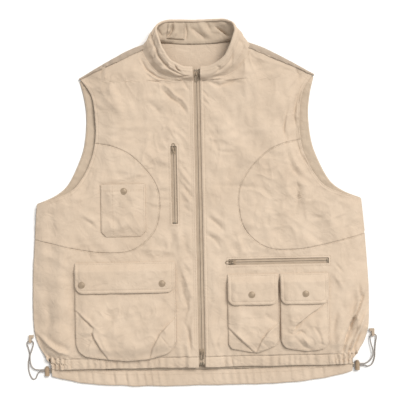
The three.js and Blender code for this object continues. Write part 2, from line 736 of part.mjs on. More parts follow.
function cordLock(name, side) {
  const slot = box(-9, 9, -slotHalf, slotHalf, -lockSlot.height / 2, lockSlot.height / 2);
  const barrel = cut(
    upright(lockRadius, springFoot - 1.6, barrelEnd, 16),
    upright(lockBore, springFoot, barrelEnd + 5, 16),
    slot,
  );
  add(`${name}_lock_barrel`, lockAt(side, barrel), lockPlastic);
  const through = box(
    -9, 9, -slotHalf, slotHalf + plungerTravel, -lockSlot.height / 2, lockSlot.height / 2,
  );
  const rod = upright(plungerRadius, plungerFoot, slotHalf + plungerTravel + lockEnd, 12);
  add(`${name}_lock_plunger`, lockAt(side, cut(rod, through)), lockPlastic);
  const turns = 3;
  const route = Array.from({ length: turns * 6 + 1 }, (_, i) => {
    const angle = (i * Math.PI) / 3;
    const rise = springFoot + 0.7 + ((springRoom - 1.4) * i) / (turns * 6);
    const radius = plungerRadius - 0.8;
    return new THREE.Vector3(radius * Math.cos(angle), rise, radius * Math.sin(angle));
  });
  add(`${name}_lock_spring`, lockAt(side, bar(route, springWire / 2, turns * 8, 6)), springSteel);
}

cordLock("left", 1);
cordLock("right", -1);

// An oval eyelet on the end of the casing, where both cord ends come out.
function eyelet(side) {
  const flat = strand;
  const oval = (grow) => {
    const radius = cordDiameter / 2 + cordPlay + 0.1 + grow;
    return Array.from({ length: 14 }, (_, i) => {
      const half = Math.floor(i / 7);
      const angle = (Math.PI * (i - half)) / 6 - Math.PI / 2;
      const shift = half ? -flat : flat;
      return new THREE.Vector2(
        lockY + shift + radius * Math.cos(angle),
        lockHeight + radius * Math.sin(angle),
      );
    });
  };
  const near = hemHalf + seamGap;
  const far = near + 1.6;
  const span = side > 0 ? [near, far] : [-far, -near];
  return cut(alongX(oval(1.4), ...span), alongX(oval(0), -reach, reach));
}

add("left_cord_eyelet", eyelet(1), bareMetal);
add("right_cord_eyelet", eyelet(-1), bareMetal);

// A folded tape loop sewn into the side seam; the cord goes through its lower end, along X.
function sideTab() {
  const low = edgeTop - cloth;
  const high = low + tab.eye + 2 * tab.wall;
  const foot = tab.y - tab.length;
  const x0 = tab.x - tab.width / 2;
  const loop = box(x0, x0 + tab.width, foot, tab.y, low, high);
  const arm = box(halfWidth + seamGap, x0 + 1, tab.y - 5, tab.y, low, high);
  const eye = box(x0 - 1, x0 + tab.width + 1, foot + tab.wall, foot + tab.wall + tab.eye,
    low + tab.wall, high - tab.wall);
  return cut(join(loop, arm), eye);
}

const tabEyeY = tab.y - tab.length + tab.wall + tab.eye / 2;
const tabEyeZ = edgeTop - cloth + tab.wall + tab.eye / 2;
add("left_side_tab", sideTab(), tapeCloth);
const mirroredTab = cut(sideTab());
mirroredTab.scale(-1, 1, 1);
mirroredTab.setIndex(Array.from(mirroredTab.index.array).toReversed());
mirroredTab.computeVertexNormals();
add("right_side_tab", mirroredTab, tapeCloth);

// Each drawcord leaves the eyelet, goes through the lock, loops through the tab and comes back.
// The route's points are chosen by hand, in (distance from the middle, y, z).
const cordStart = hemHalf - 1;
const leftRoute = [
  [cordStart, lockY - strand, lockHeight], [lockX, lockY - strand, lockHeight],
  [lockX + 14, lockY - strand, lockHeight], [334, -338, 4], [343, -334, 2.2], [348.5, -321, 1.7],
  [349.5, -306, 1.7], [351, -291, 2.2], [352.6, -280, 3.6], [351, tabEyeY - 0.6, tabEyeZ],
  [tab.x, tabEyeY, tabEyeZ], [341.4, tabEyeY - 0.6, tabEyeZ], [339.8, -280, 4.2],
  [341.2, -292, 5.4], [344.5, -304, 5.6], [344.6, -316, 5], [339, -326, 4.6],
  [331, -331.2, 4.8], [lockX + 13, lockY + strand, lockHeight], [lockX, lockY + strand, lockHeight],
  [cordStart, lockY + strand, lockHeight],
];
const rightRoute = [
  [cordStart, lockY - strand, lockHeight], [lockX, lockY - strand, lockHeight],
  [lockX + 14, lockY - strand, lockHeight], [332, -340, 3.6], [337, -350, 1.9], [344, -350, 1.7],
  [350, -336, 1.7], [351, -318, 1.7], [348, -303, 1.8], [350, -290, 2.4], [352.6, -280, 3.6],
  [351, tabEyeY - 0.6, tabEyeZ], [tab.x, tabEyeY, tabEyeZ], [341.4, tabEyeY - 0.6, tabEyeZ],
  [339.8, -280, 4.2], [343, -292, 5.4], [347, -304, 5.4], [345.4, -322, 4.8], [338.6, -330.5, 4.6],
  [331, -332.2, 4.8], [lockX + 13, lockY + strand, lockHeight], [lockX, lockY + strand, lockHeight],
  [cordStart, lockY + strand, lockHeight],
];

function drawcord(route, side) {
  const line = route.map(([x, y, z]) => new THREE.Vector3(side * x, y, z));
  return bar(line, cordDiameter / 2, 60, 8);
}

add("left_drawcord", drawcord(leftRoute, 1), cordBraid);
add("right_drawcord", drawcord(rightRoute, -1), cordBraid);

export default vest;
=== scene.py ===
import math
import bmesh
import bpy
import numpy as np
from mathutils import Matrix, Vector


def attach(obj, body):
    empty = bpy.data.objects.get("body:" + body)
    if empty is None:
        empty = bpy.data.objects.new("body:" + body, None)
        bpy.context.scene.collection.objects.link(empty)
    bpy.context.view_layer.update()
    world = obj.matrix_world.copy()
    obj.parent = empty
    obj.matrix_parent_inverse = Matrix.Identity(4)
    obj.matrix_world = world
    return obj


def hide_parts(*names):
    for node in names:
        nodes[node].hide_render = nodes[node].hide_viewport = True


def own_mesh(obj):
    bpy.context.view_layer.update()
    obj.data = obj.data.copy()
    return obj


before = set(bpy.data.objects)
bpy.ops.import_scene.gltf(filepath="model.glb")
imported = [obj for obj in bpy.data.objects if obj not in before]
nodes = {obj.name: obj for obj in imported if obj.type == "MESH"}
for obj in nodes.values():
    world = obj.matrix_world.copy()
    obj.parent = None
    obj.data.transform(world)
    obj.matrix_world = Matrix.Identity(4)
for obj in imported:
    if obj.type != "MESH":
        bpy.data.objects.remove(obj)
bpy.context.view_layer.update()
mm = 0.001

# ---- The studio ----
# A wide pale table under a big soft lamp high on the right, with light from all round to fill.
# The camera hangs over the vest and looks straight down, turned a little as the vest lies.
def blank_finish(name, roughness, specular, metallic=0.0, sheen=0.0):
    """A new finish with its even settings, as (finish, node tree, shader)."""
    finish = bpy.data.materials.new(name)
    finish.use_nodes = True
    shader = finish.node_tree.nodes["Principled BSDF"]
    shader.inputs["Roughness"].default_value = roughness
    shader.inputs["Specular IOR Level"].default_value = specular
    shader.inputs["Metallic"].default_value = metallic
    shader.inputs["Sheen Weight"].default_value = sheen
    shader.inputs["Sheen Roughness"].default_value = 0.6
    return finish, finish.node_tree, shader


def add_node(tree, kind, settings=(), **inputs):
    """A node with its settings, and its inputs as numbers or as other nodes' outputs."""
    made = tree.nodes.new("ShaderNode" + kind)
    for key, value in dict(settings).items():
        setattr(made, key, value)
    for key, value in inputs.items():
        place = int(key[1:]) if key[0] == "i" and key[1:].isdigit() else key.replace("_", " ")
        if isinstance(value, bpy.types.NodeSocket):
            tree.links.new(value, made.inputs[place])
        else:
            made.inputs[place].default_value = value
    return made


def in_scene(name, data):
    """A new object in the scene."""
    made = bpy.data.objects.new(name, data)
    bpy.context.scene.collection.objects.link(made)
    return made


def made_of(name, bm, finish):
    """A bmesh as an object of the scene, in its finish."""
    data = bpy.data.meshes.new(name)
    bm.to_mesh(data)
    bm.free()
    data.materials.append(finish)
    return in_scene(name, data)


paper, paper_tree, paper_shader = blank_finish("pale_paper", 0.9, 0.1)
paper_grain = add_node(paper_tree, "TexNoise", Scale=60.0)
paper_tone = add_node(paper_tree, "MapRange", Value=paper_grain.outputs["Fac"], To_Min=0.93, To_Max=0.95)
paper_tree.links.new(paper_tone.outputs["Result"], paper_shader.inputs["Base Color"])
table_top = bmesh.new()
bmesh.ops.create_grid(table_top, x_segments=1, y_segments=1, size=4)
table = made_of("studio_table", table_top, paper)
table.location.z = -0.2 * mm

world = bpy.data.worlds.new("studio")
bpy.context.scene.world = world
world.use_nodes = True
world.node_tree.nodes["Background"].inputs["Color"].default_value = (1.0, 0.99, 0.975, 1)
world.node_tree.nodes["Background"].inputs["Strength"].default_value = 0.58
lamp_data = bpy.data.lights.new("soft_lamp", "SUN")
lamp_data.energy = 2.85
lamp_data.angle = math.radians(30)
lamp_data.color = (1.0, 0.975, 0.94)
lamp = in_scene("soft_lamp", lamp_data)
lamp.rotation_euler = Vector((0.52, 0.58, 1.0)).to_track_quat("Z", "Y").to_euler()

film_width, lens, field, vest_face = 36, 85, 0.8, 0.022
camera_data = bpy.data.cameras.new("camera")
camera_data.sensor_width = film_width
camera_data.lens = lens
camera_data.clip_end = 20
camera = in_scene("camera", camera_data)
camera.location = (0.0022, 0.0040, vest_face + field * lens / film_width)
camera.rotation_euler = (0, 0, math.radians(-1.15))
bpy.context.scene.camera = camera
bpy.context.scene.view_settings.view_transform = "Standard"


# ---- Drawcords ----
# A 2.5 mm shock cord at each side of the hem: round braided cover over rubber. It comes out of
# the hem's eyelet, goes through its lock, loops through the tab at the side seam and goes back.
def maths(tree, operation, a, b=0.0, c=0.0):
    """The output of one sum."""
    return add_node(tree, "Math", {"operation": operation}, i0=a, i1=b, i2=c).outputs[0]


def linear(red, green, blue):
    """A paint colour given as it looks on a screen, 0 to 255, as the shader's own numbers."""
    def one(c):
        c = c / 255
        return c / 12.92 if c <= 0.04045 else ((c + 0.055) / 1.055) ** 2.4
    return (one(red), one(green), one(blue), 1.0)


def blend_colours(tree, amount, low, high):
    """A colour between two, by an amount from 0 to 1."""
    mixed = add_node(tree, "Mix", {"data_type": "RGBA"})
    for socket, value in ((mixed.inputs[0], amount), (mixed.inputs[6], low), (mixed.inputs[7], high)):
        if isinstance(value, bpy.types.NodeSocket):
            tree.links.new(value, socket)
        else:
            socket.default_value = value
    return mixed.outputs[2]


def raise_bump(tree, shader, height, depth):
    """A relief of that depth, in metres, from a height of 0 to 1."""
    bump = add_node(tree, "Bump", Strength=1.0, Distance=depth, Height=height)
    tree.links.new(bump.outputs["Normal"], shader.inputs["Normal"])


def braid_finish():
    """Grey braid: threads cross in a slanting plait, with a paler fleck in it."""
    finish, tree, shader = blank_finish("shock_cord_braid", 0.7, 0.3, sheen=0.15)
    run = add_node(tree, "TexCoord").outputs["UV"]
    parts = add_node(tree, "SeparateXYZ", Vector=run)
    along = maths(tree, "MULTIPLY", parts.outputs[0], 2 * math.pi * 150)
    round_it = maths(tree, "MULTIPLY", parts.outputs[1], 2 * math.pi * 4)
    one_way = maths(tree, "SINE", maths(tree, "ADD", along, round_it))
    other_way = maths(tree, "SINE", maths(tree, "SUBTRACT", along, round_it))
    plait = maths(tree, "MULTIPLY_ADD", maths(tree, "MULTIPLY", one_way, other_way), 0.5, 0.5)
    fleck = add_node(tree, "TexNoise", Scale=420.0, Detail=2.0).outputs["Fac"]
    tone = maths(tree, "MULTIPLY_ADD", fleck, 0.7, maths(tree, "MULTIPLY", plait, 0.4))
    colour = blend_colours(tree, tone, linear(96, 90, 86), linear(176, 168, 160))
    tree.links.new(colour, shader.inputs["Base Color"])
    raise_bump(tree, shader, plait, 0.25 * mm)
    return finish


cord_braid = braid_finish()


def smooth_line(points, steps):
    """A smooth line through points, Catmull-Rom, with its ends doubled."""
    p = np.array([points[0], *points, points[-1]], float)
    t = np.linspace(0, len(points) - 1, steps + 1)
    i = np.minimum(t.astype(int), len(points) - 2)
    f = (t - i)[:, None]
    a, b, c, d = p[i], p[i + 1], p[i + 2], p[i + 3]
    return 0.5 * (2 * b + (c - a) * f + (2 * a - 5 * b + 4 * c - d) * f ** 2
                  + (3 * b - a - 3 * c + d) * f ** 3)


def run_along(line):
    """How far each point of a line lies along it, from 0."""
    return np.concatenate([[0], np.cumsum(np.linalg.norm(np.diff(line, axis=0), axis=1))])


cord_size = 2.5
strand = 0.65 * cord_size
cord_y = -334
left_route = [
    (302, cord_y - strand, 5), (313, cord_y - strand, 5), (327, cord_y - strand, 5), (334, -338, 4),
    (343, -334, 2.2), (348.5, -321, 1.7), (349.5, -306, 1.7), (351, -291, 2.2), (352.6, -280, 3.6),
    (351, -275, 4.5), (346, -274.4, 4.5), (341.4, -275, 4.5), (339.8, -280, 4.2), (341.2, -292, 5.4),
    (344.5, -304, 5.6), (344.6, -316, 5), (339, -326, 4.6), (331, -331.2, 4.8),
    (326, cord_y + strand, 5), (313, cord_y + strand, 5), (302, cord_y + strand, 5),
]
right_route = [
    (302, cord_y - strand, 5), (313, cord_y - strand, 5), (327, cord_y - strand, 5), (332, -340, 3.6),
    (337, -350, 1.9), (344, -350, 1.7), (350, -336, 1.7), (351, -318, 1.7), (348, -303, 1.8),
    (350, -290, 2.4), (352.6, -280, 3.6), (351, -275, 4.5), (346, -274.4, 4.5), (341.4, -275, 4.5),
    (339.8, -280, 4.2), (343, -292, 5.4), (347, -304, 5.4), (345.4, -322, 4.8), (338.6, -330.5, 4.6),
    (331, -332.2, 4.8), (326, cord_y + strand, 5), (313, cord_y + strand, 5),
    (302, cord_y + strand, 5),
]


def drawcord(name, route, side):
    """A cord along its route, which is given for the left side, in millimetres."""
    line = smooth_line(route, 6 * (len(route) - 1)) * (side * mm, mm, mm)
    data = bpy.data.curves.new(name, "CURVE")
    data.dimensions = "3D"
    data.bevel_depth = cord_size / 2 * mm
    data.bevel_resolution = 4
    data.use_fill_caps = True
    spline = data.splines.new("POLY")
    spline.points.add(len(line) - 1)
    for point, spot in zip(spline.points, line):
        point.co = (*spot, 1)
    piece = in_scene(name, data)
    data.materials.append(cord_braid)
    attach(piece, "vest")
    return piece


left_cord = drawcord("left_shock_cord", left_route, 1)
right_cord = drawcord("right_shock_cord", right_route, -1)
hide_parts("left_drawcord")
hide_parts("right_drawcord")


# ---- Back panel ----
# One wide panel of cotton cloth that lies flat on the table, its inside up: from the yoke's seam
# down to the hem casing, and out to the armholes and side seams, where the fronts join it.
def effect(name, **asks):
    """A node group for a finish, as (its tree, what it is given, what it gives): it has the named
    inputs, and puts out a colour, a roughness and the height of a relief."""
    group = bpy.data.node_groups.new(name, "ShaderNodeTree")
    for label, value in asks.items():
        kind = "NodeSocketColor" if isinstance(value, tuple) else "NodeSocketFloat"
        socket = group.interface.new_socket(label.replace("_", " "), in_out="INPUT", socket_type=kind)
        socket.default_value = value
    for label, kind in (("Colour", "Color"), ("Roughness", "Float"), ("Height", "Float")):
        group.interface.new_socket(label, in_out="OUTPUT", socket_type="NodeSocket" + kind)
    return group, group.nodes.new("NodeGroupInput").outputs, group.nodes.new("NodeGroupOutput").inputs


def put_out(tree, gives, colour, roughness, height):
    """Joins a group's results to its outputs."""
    for label, value in (("Colour", colour), ("Roughness", roughness), ("Height", height)):
        tree.links.new(value, gives[label])
    return tree


def wear(tree, shader, group, depth, **values):
    """Places a finish's group in a material, with a relief of that depth."""
    placed = add_node(tree, "Group", {"node_tree": group}, **values)
    tree.links.new(placed.outputs["Colour"], shader.inputs["Base Color"])
    tree.links.new(placed.outputs["Roughness"], shader.inputs["Roughness"])
    raise_bump(tree, shader, placed.outputs["Height"], depth)


def plain_weave():
    """Washed plain-weave cotton: over-and-under threads, slubs, and soft faded patches."""
    tree, given, gives = effect("washed_plain_weave", Shade=linear(180, 160, 139),
                                Light_Shade=linear(210, 192, 172), Thread_Turns=math.pi / (0.42 * mm))
    place = add_node(tree, "TexCoord").outputs["Object"]
    parts = add_node(tree, "SeparateXYZ", Vector=place)
    warp, weft = (maths(tree, "SINE", maths(tree, "MULTIPLY", parts.outputs[k], given["Thread Turns"]))
                  for k in (0, 1))
    weave = maths(tree, "MULTIPLY_ADD", maths(tree, "MULTIPLY", warp, weft), 0.5, 0.5)
    slub_up, slub_level = (
        add_node(tree, "TexNoise", Scale=1.0, Detail=1.0,
                 Vector=add_node(tree, "Mapping", Vector=place, Scale=stretch).outputs[0])
        for stretch in ((1100, 90, 1100), (90, 1100, 1100)))
    slubs = maths(tree, "ADD", slub_up.outputs["Fac"], slub_level.outputs["Fac"])
    washed = add_node(tree, "TexNoise", Vector=place, Scale=22.0, Detail=5.0, Roughness=0.62)
    broad = add_node(tree, "TexNoise", Vector=place, Scale=6.0, Detail=2.0)
    patches = maths(tree, "MULTIPLY_ADD", washed.outputs["Fac"], 0.7,
                    maths(tree, "MULTIPLY", broad.outputs["Fac"], 0.5))
    tone = maths(tree, "MULTIPLY_ADD", slubs, 0.22,
                 maths(tree, "MULTIPLY_ADD", weave, 0.1, maths(tree, "SUBTRACT", patches, 0.27)))
    soft = add_node(tree, "Clamp", Value=tone).outputs[0]
    colour = blend_colours(tree, soft, given["Shade"], given["Light Shade"])
    rough = maths(tree, "MULTIPLY_ADD", washed.outputs["Fac"], 0.16, 0.8)
    fine = add_node(tree, "TexNoise", Vector=place, Scale=240.0, Detail=3.0, Roughness=0.6)
    threads = maths(tree, "MULTIPLY_ADD", weave, 0.22,
                    maths(tree, "MULTIPLY_ADD", slubs, 0.3, fine.outputs["Fac"]))
    crumple = add_node(tree, "TexNoise", Vector=place, Scale=38.0, Detail=3.0, Roughness=0.5,
                       Distortion=1.4).outputs["Fac"]
    ridges = maths(tree, "ABSOLUTE", maths(tree, "SUBTRACT", crumple, 0.5))
    relief = maths(tree, "MULTIPLY_ADD", ridges, -14.0, threads)
    return put_out(tree, gives, colour, rough, relief)


washed_cotton = plain_weave()


def cotton_finish(name, shade, light_shade):
    finish, tree, shader = blank_finish(name, 0.88, 0.22, sheen=0.12)
    wear(tree, shader, washed_cotton, 0.16 * mm, Shade=shade, Light_Shade=light_shade)
    return finish


shell_cloth = cotton_finish("shell_cotton", linear(180, 160, 139), linear(210, 192, 172))
lining_cloth = cotton_finish("lining_cotton", linear(174, 156, 136), linear(197, 180, 160))

back_hem = -370
tail_band = 33
hem_half = 303
yoke_seam = 195
armhole_back = smooth_line([(238, 253.5), (228, 214), (224, 172), (228.5, 123), (240, 86), (263, 41),
                            (290, 18), (326.5, 2.7)], 84)
side_seam = smooth_line([(326.5, 2.7), (333, -70), (338, -150), (339, -210), (337, -255), (328, -286),
                         (313, -308), (303, -322)], 84)


def tail_edge(x):
    return back_hem + 23 * (x / hem_half) ** 4


def points_at(line, marks, at):
    """The points of a line at some marks, where its own points are at the given marks."""
    return np.column_stack([np.interp(at, marks, column) for column in line.T])


def across_at(line, y):
    """The x of a line that rises all the way, at each y."""
    order = np.argsort(line[:, 1])
    return np.interp(y, line[order, 1], line[order, 0])


def soft_waves(x, y, size, seed):
    """Gentle irregular waves about -1 to 1, of one rough size in millimetres."""
    waves = 26
    dice = np.random.default_rng(seed)
    total = np.zeros_like(x, dtype=float)
    for _ in range(waves):
        angle = dice.uniform(0, math.pi)
        length = size * dice.uniform(0.7, 1.6)
        start = dice.uniform(0, 2 * math.pi)
        run = (x * math.cos(angle) + y * math.sin(angle)) * 2 * math.pi / length
        total = total + np.sin(run + start)
    return total / math.sqrt(waves / 2) / 1.6


def shaped_grid(across, along, place):
    """A grid of cloth whose points go where place(u, v) says, in millimetres."""
    bm = bmesh.new()
    bmesh.ops.create_grid(bm, x_segments=across, y_segments=along, size=1)
    flat = np.array([v.co for v in bm.verts])
    spots = np.column_stack(place((flat[:, 0] + 1) / 2, (flat[:, 1] + 1) / 2)) * mm
    for vert, spot in zip(bm.verts, spots):
        vert.co = spot
    return bm


def finish_piece(name, bm, finish, body="vest"):
    """Makes a bmesh the finished piece: its finish and the body it rides on."""
    piece = made_of(name, bm, finish)
    piece.data.polygons.foreach_set("use_smooth", [True] * len(piece.data.polygons))
    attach(piece, body)
    return piece


def face_up(bm, above=-1.0):
    """Turns a sheet's faces one way, so that those higher than above look up."""
    bmesh.ops.recalc_face_normals(bm, faces=bm.faces)
    if sum(f.normal.z for f in bm.faces if f.calc_center_median().z > above) < 0:
        bmesh.ops.reverse_faces(bm, faces=bm.faces)


def thicken(piece, thickness):
    """Gives a sheet its thickness, in millimetres, under its face."""
    wall = piece.modifiers.new("thickness", "SOLIDIFY")
    wall.thickness = thickness * mm
    wall.offset = -1
    wall.use_even_offset = False


def cut_cloth(name, bm, finish, node, thickness, layers=1,
              body="vest"):
    """A cut of cloth in place of a CAD node. A closed tube, which has an inside too, has 2 layers and
    brings its own thickness."""
    piece = finish_piece(name, bm, finish, body)
    if layers == 1:
        thicken(piece, thickness)
    if node:
        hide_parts(node)
    return piece


def back_half_width(y):
    return across_at(np.vstack([armhole_back[:-1], side_seam]), y)


def smooth_step(value):
    value = np.clip(value, 0, 1)
    return value * value * (3 - 2 * value)


def tail_gathers(x):
    """The cord draws the tail into small upright folds, uneven along the hem."""
    run = x / 21 + soft_waves(x, 0 * x, 150, 61)
    some = np.clip(soft_waves(x, 0 * x, 70, 68) + 0.5, 0, 1.3)
    tucks = np.exp(-((run - np.round(run)) / 0.09) ** 2) * some
    return 0.6 * np.sin(2 * math.pi * run) * (0.65 + 0.35 * soft_waves(x, 0 * x, 80, 62)) - 1.1 * tucks


def back_height(x, y):
    """The back lies on the table, with slight waves where nothing presses it down."""
    by_tail = smooth_step((-295 - y) / 45)
    lift = by_tail * (5.6 + 1.5 * tail_gathers(x))
    return 0.35 + 0.3 * (1 + soft_waves(x, y, 70, 3)) + lift


def back_place(u, v):
    x_even = (2 * u - 1) * 300
    low = tail_edge(np.clip(x_even, -hem_half, hem_half)) + tail_band
    y = low + (yoke_seam - low) * v
    x = (2 * u - 1) * back_half_width(y)
    return x, y, back_height(x, y) + 1.2


back = cut_cloth("back_panel_cloth", shaped_grid(150, 150, back_place), lining_cloth,
                 "back_panel", 1.2)


# ---- Back yoke and shoulders ----
# The yoke is the top of the back. Over each shoulder it folds forward, and its edge is sewn to
# the front panel 12 mm down the front, with the seam allowance under it.
shoulder_fold = smooth_line([(97, 322), (134, 308.5), (169, 291), (205.7, 271.1), (238, 253.5)], 48)
shoulder_seam = smooth_line([(108, 307), (136, 295.5), (170, 280.5), (205, 267), (236, 253.5)], 48)


def yoke_half_width(y):
    fold_in = shoulder_fold + (-4.0, -4.0)
    upper = np.vstack([armhole_back[armhole_back[:, 1] > yoke_seam - 3], fold_in[::-1], [(84, 326)]])
    return across_at(upper, y)


def yoke_place(u, v):
    y = yoke_seam + (326.5 - yoke_seam) * v
    x = (2 * u - 1) * yoke_half_width(y)
    return x, y, back_height(x, y) + 1.2


yoke = cut_cloth("back_yoke_cloth", shaped_grid(120, 50, yoke_place), shell_cloth,
                 "back_yoke", 1.2)


def shoulder_height(t):
    """The front's height along the shoulder seam, from the neck (0) to the shoulder's tip (1)."""
    return 21.6 - 9.5 * t ** 1.3


# ---- Armhole facings ----
# A shaped strip of lining cloth inside each back armhole, 24 mm wide, turned in at the edge and
# topstitched. The front armhole is cut further in, so the facing shows outside it.
def inside_of(line, distance):
    """A line moved to its left by a distance, in plan."""
    run = np.gradient(line, axis=0)
    run /= np.linalg.norm(run, axis=1)[:, None]
    return line + np.column_stack([-run[:, 1], run[:, 0]]) * distance


facing_line = armhole_back[armhole_back[:, 1] < 239.5]


def facing_place(side):
    def place(u, v):
        marks = np.linspace(0, 1, len(facing_line))
        edge = points_at(facing_line, marks, v)
        inner = inside_of(facing_line, -24)
        inner[:, 0] = np.minimum(inner[:, 0], 318)
        deep = points_at(inner, marks, v)
        w = u if side > 0 else 1 - u
        spot = deep + (edge - deep) * w[:, None]
        roll = 1.1 * np.clip((w - 0.8) / 0.2, 0, 1) ** 2
        z = 3.4 + 0.35 * soft_waves(spot[:, 0], spot[:, 1], 16, 8) + 0.5 * np.sin(np.pi * w) - roll
        return side * spot[:, 0], spot[:, 1], z
    return place


for side, name in ((1, "left"), (-1, "right")):
    bm = shaped_grid(14, 130, facing_place(side))
    face_up(bm)
    cut_cloth(name + "_facing_cloth", bm, lining_cloth, name + "_armhole_facing", 0.9)


# ---- Front panels and armhole insets ----
# Each front is one panel from zip to side seam with a round inset sewn into it under the arm.
# The cloth rests on the back at the sides and stands proud over the folded layers in the middle.
front_top, side_fold = 22, 3.6
armhole_front = smooth_line([(236, 253.5), (213, 219), (205.5, 171), (207, 122), (222, 73), (249, 32),
                             (284, 14), (325, 3)], 84)
neck_seam = smooth_line([(6.5, 243), (28, 243.5), (72, 259), (97, 285), (108, 307)], 60)
inset_seam = smooth_line([(207, 122), (168, 113), (130, 92), (90, 45), (79, 0), (90, -55),
                          (130, -92), (180, -99), (240, -92), (333, -70)], 150)
inset_outline = np.vstack([inset_seam, side_seam[side_seam[:, 1] > -70][::-1],
                           armhole_front[armhole_front[:, 1] < 122][::-1]])


def near_line(x, y, line):
    """Each point's distance to a line, signed by its side, and how far along it lies (0 to 1)."""
    best = np.full(x.shape, 1e9)
    signed = np.zeros(x.shape)
    along = np.zeros(x.shape)
    line = np.asarray(line, float)
    steps = np.linalg.norm(np.diff(line, axis=0), axis=1)
    done = np.concatenate([[0], np.cumsum(steps)]) / steps.sum()
    for i in range(len(line) - 1):
        a, run = line[i], line[i + 1] - line[i]
        t = np.clip(((x - a[0]) * run[0] + (y - a[1]) * run[1]) / (run @ run), 0, 1)
        dx, dy = x - a[0] - t * run[0], y - a[1] - t * run[1]
        gap = np.hypot(dx, dy)
        nearer = gap < best
        best = np.where(nearer, gap, best)
        signed = np.where(nearer, np.sign(run[0] * dy - run[1] * dx) * gap, signed)
        along = np.where(nearer, done[i] + t * (done[i + 1] - done[i]), along)
    return signed, along


def crease(x, y, line, width, height, sharp=1.0):
    """A ridge in the cloth along a line, or a groove. Sharp narrows it on the line's right."""
    signed, along = near_line(x, y, line)
    taper = np.sin(np.pi * np.clip(along, 0.03, 0.97)) ** 0.7
    wide = np.where(signed > 0, width, width * sharp)
    return height * taper * np.exp(-(signed / wide) ** 2)


def creases(x, y, lines):
    """All the creases of a piece together."""
    return sum(crease(x, y, *line) for line in lines)


def inside(x, y, outline):
    """True where a point is inside a closed outline."""
    hit = np.zeros(x.shape, bool)
    ends = np.roll(outline, -1, axis=0)
    for (x0, y0), (x1, y1) in zip(outline, ends):
        if y0 != y1:
            cross = ((y0 > y) != (y1 > y)) & (x < (x1 - x0) * (y - y0) / (y1 - y0) + x0)
            hit ^= cross
    return hit


# Where the cloth is drawn into folds: (line, width, height, sharp), on the wearer's right and left.
right_folds = [
    ([(-191, 282), (-190, 262), (-192, 250)], 2.2, -1.7),
    ([(-184, 284), (-183, 262), (-186, 246)], 3.5, 1.3),
    ([(-163, 265), (-173, 232), (-160, 201), (-149, 161)], 9, 1.8),
    ([(-77, 246), (-59, 231), (-44, 214), (-30, 205), (-22, 194), (-16, 180)], 3.4, 2.0, 0.5),
    ([(-83, 240), (-66, 224), (-48, 204), (-36, 188)], 5, -1.2),
    ([(-27, 243), (-20, 231), (-15, 222)], 2.4, -1.5),
    ([(-112, 290), (-100, 266), (-78, 250), (-52, 243)], 3.2, -3.0, 0.6),
    ([(-104, 262), (-84, 244), (-58, 236), (-34, 240)], 3.4, -2.4, 0.6),
    ([(-70, 226), (-52, 208), (-34, 196), (-20, 176)], 2.6, -2.6, 0.6),
    ([(-206, 212), (-196, 197), (-182, 186)], 5, 1.2),
    ([(-96, 198), (-84, 190), (-72, 178)], 5, -1.2, 0.6),
    ([(-60, 152), (-36, 138), (-17, 116)], 4.5, 1.1, 0.6),
    ([(-39, 80), (-28, 66), (-14, 46)], 3.2, -1.3, 0.7),
    ([(-38, 66), (-24, 46), (-13, 32)], 3, 1.2, 0.6),
    ([(-34, 38), (-24, 22), (-12, 8)], 2.8, -2.0, 0.6),
    ([(-36, 24), (-25, 8), (-13, -4)], 3.4, 1.4, 0.7),
    ([(-33, -6), (-22, -17), (-12, -23)], 3, -1.2),
    ([(-98, 12), (-78, 7), (-52, 3)], 3.2, -1.3, 0.7),
    ([(-104, 2), (-84, -4), (-64, -4)], 3.5, 1.1),
    ([(-186, 100), (-150, 96), (-112, 103)], 9, 1.1),
    ([(-176, 62), (-140, 54), (-104, 52)], 8, -1.0),
    ([(-243, 120), (-252, 88), (-262, 70)], 4, -1.2),
    ([(-234, -28), (-216, -40), (-202, -54)], 3, -1.8, 0.6),
    ([(-236, -18), (-217, -30), (-203, -41)], 4.5, 1.2),
    ([(-226, -84), (-222, -98), (-221, -110)], 3, -1.2, 0.7),
    ([(-300, -10), (-296, -60), (-303, -120)], 13, -2.2),
    ([(-322, -20), (-316, -90), (-322, -160)], 10, 1.6),
    ([(-284, -130), (-278, -180), (-284, -240)], 13, 1.8),
    ([(-262, -150), (-258, -200), (-262, -262)], 6, -1.6),
    ([(-310, -180), (-304, -230), (-312, -270)], 9, -1.8),
    ([(-32, -60), (-28, -94), (-14, -120)], 6, -1.5, 0.7),
    ([(-40, -126), (-28, -160), (-16, -196)], 5.5, 2.0, 0.5),
    ([(-42, -150), (-34, -190), (-24, -220)], 4, -2.0, 0.6),
    ([(-21, -180), (-24, -216), (-33, -250)], 4.5, 1.6, 0.5),
    ([(-36, -236), (-26, -262), (-24, -304)], 4, -2.6, 0.5),
    ([(-17, -222), (-20, -262), (-17, -306)], 5.5, 2.0, 0.7),
    ([(-338, -252), (-325, -266), (-308, -281), (-290, -293), (-258, -304)], 7, 3.2, 0.3),
    ([(-318, -262), (-290, -282), (-262, -292)], 8, -1.6),
    ([(-45, -40), (-42, -74), (-40, -104)], 6, 1.5, 0.8),
    ([(-58, -50), (-56, -74), (-60, -100)], 5, -1.2),
]
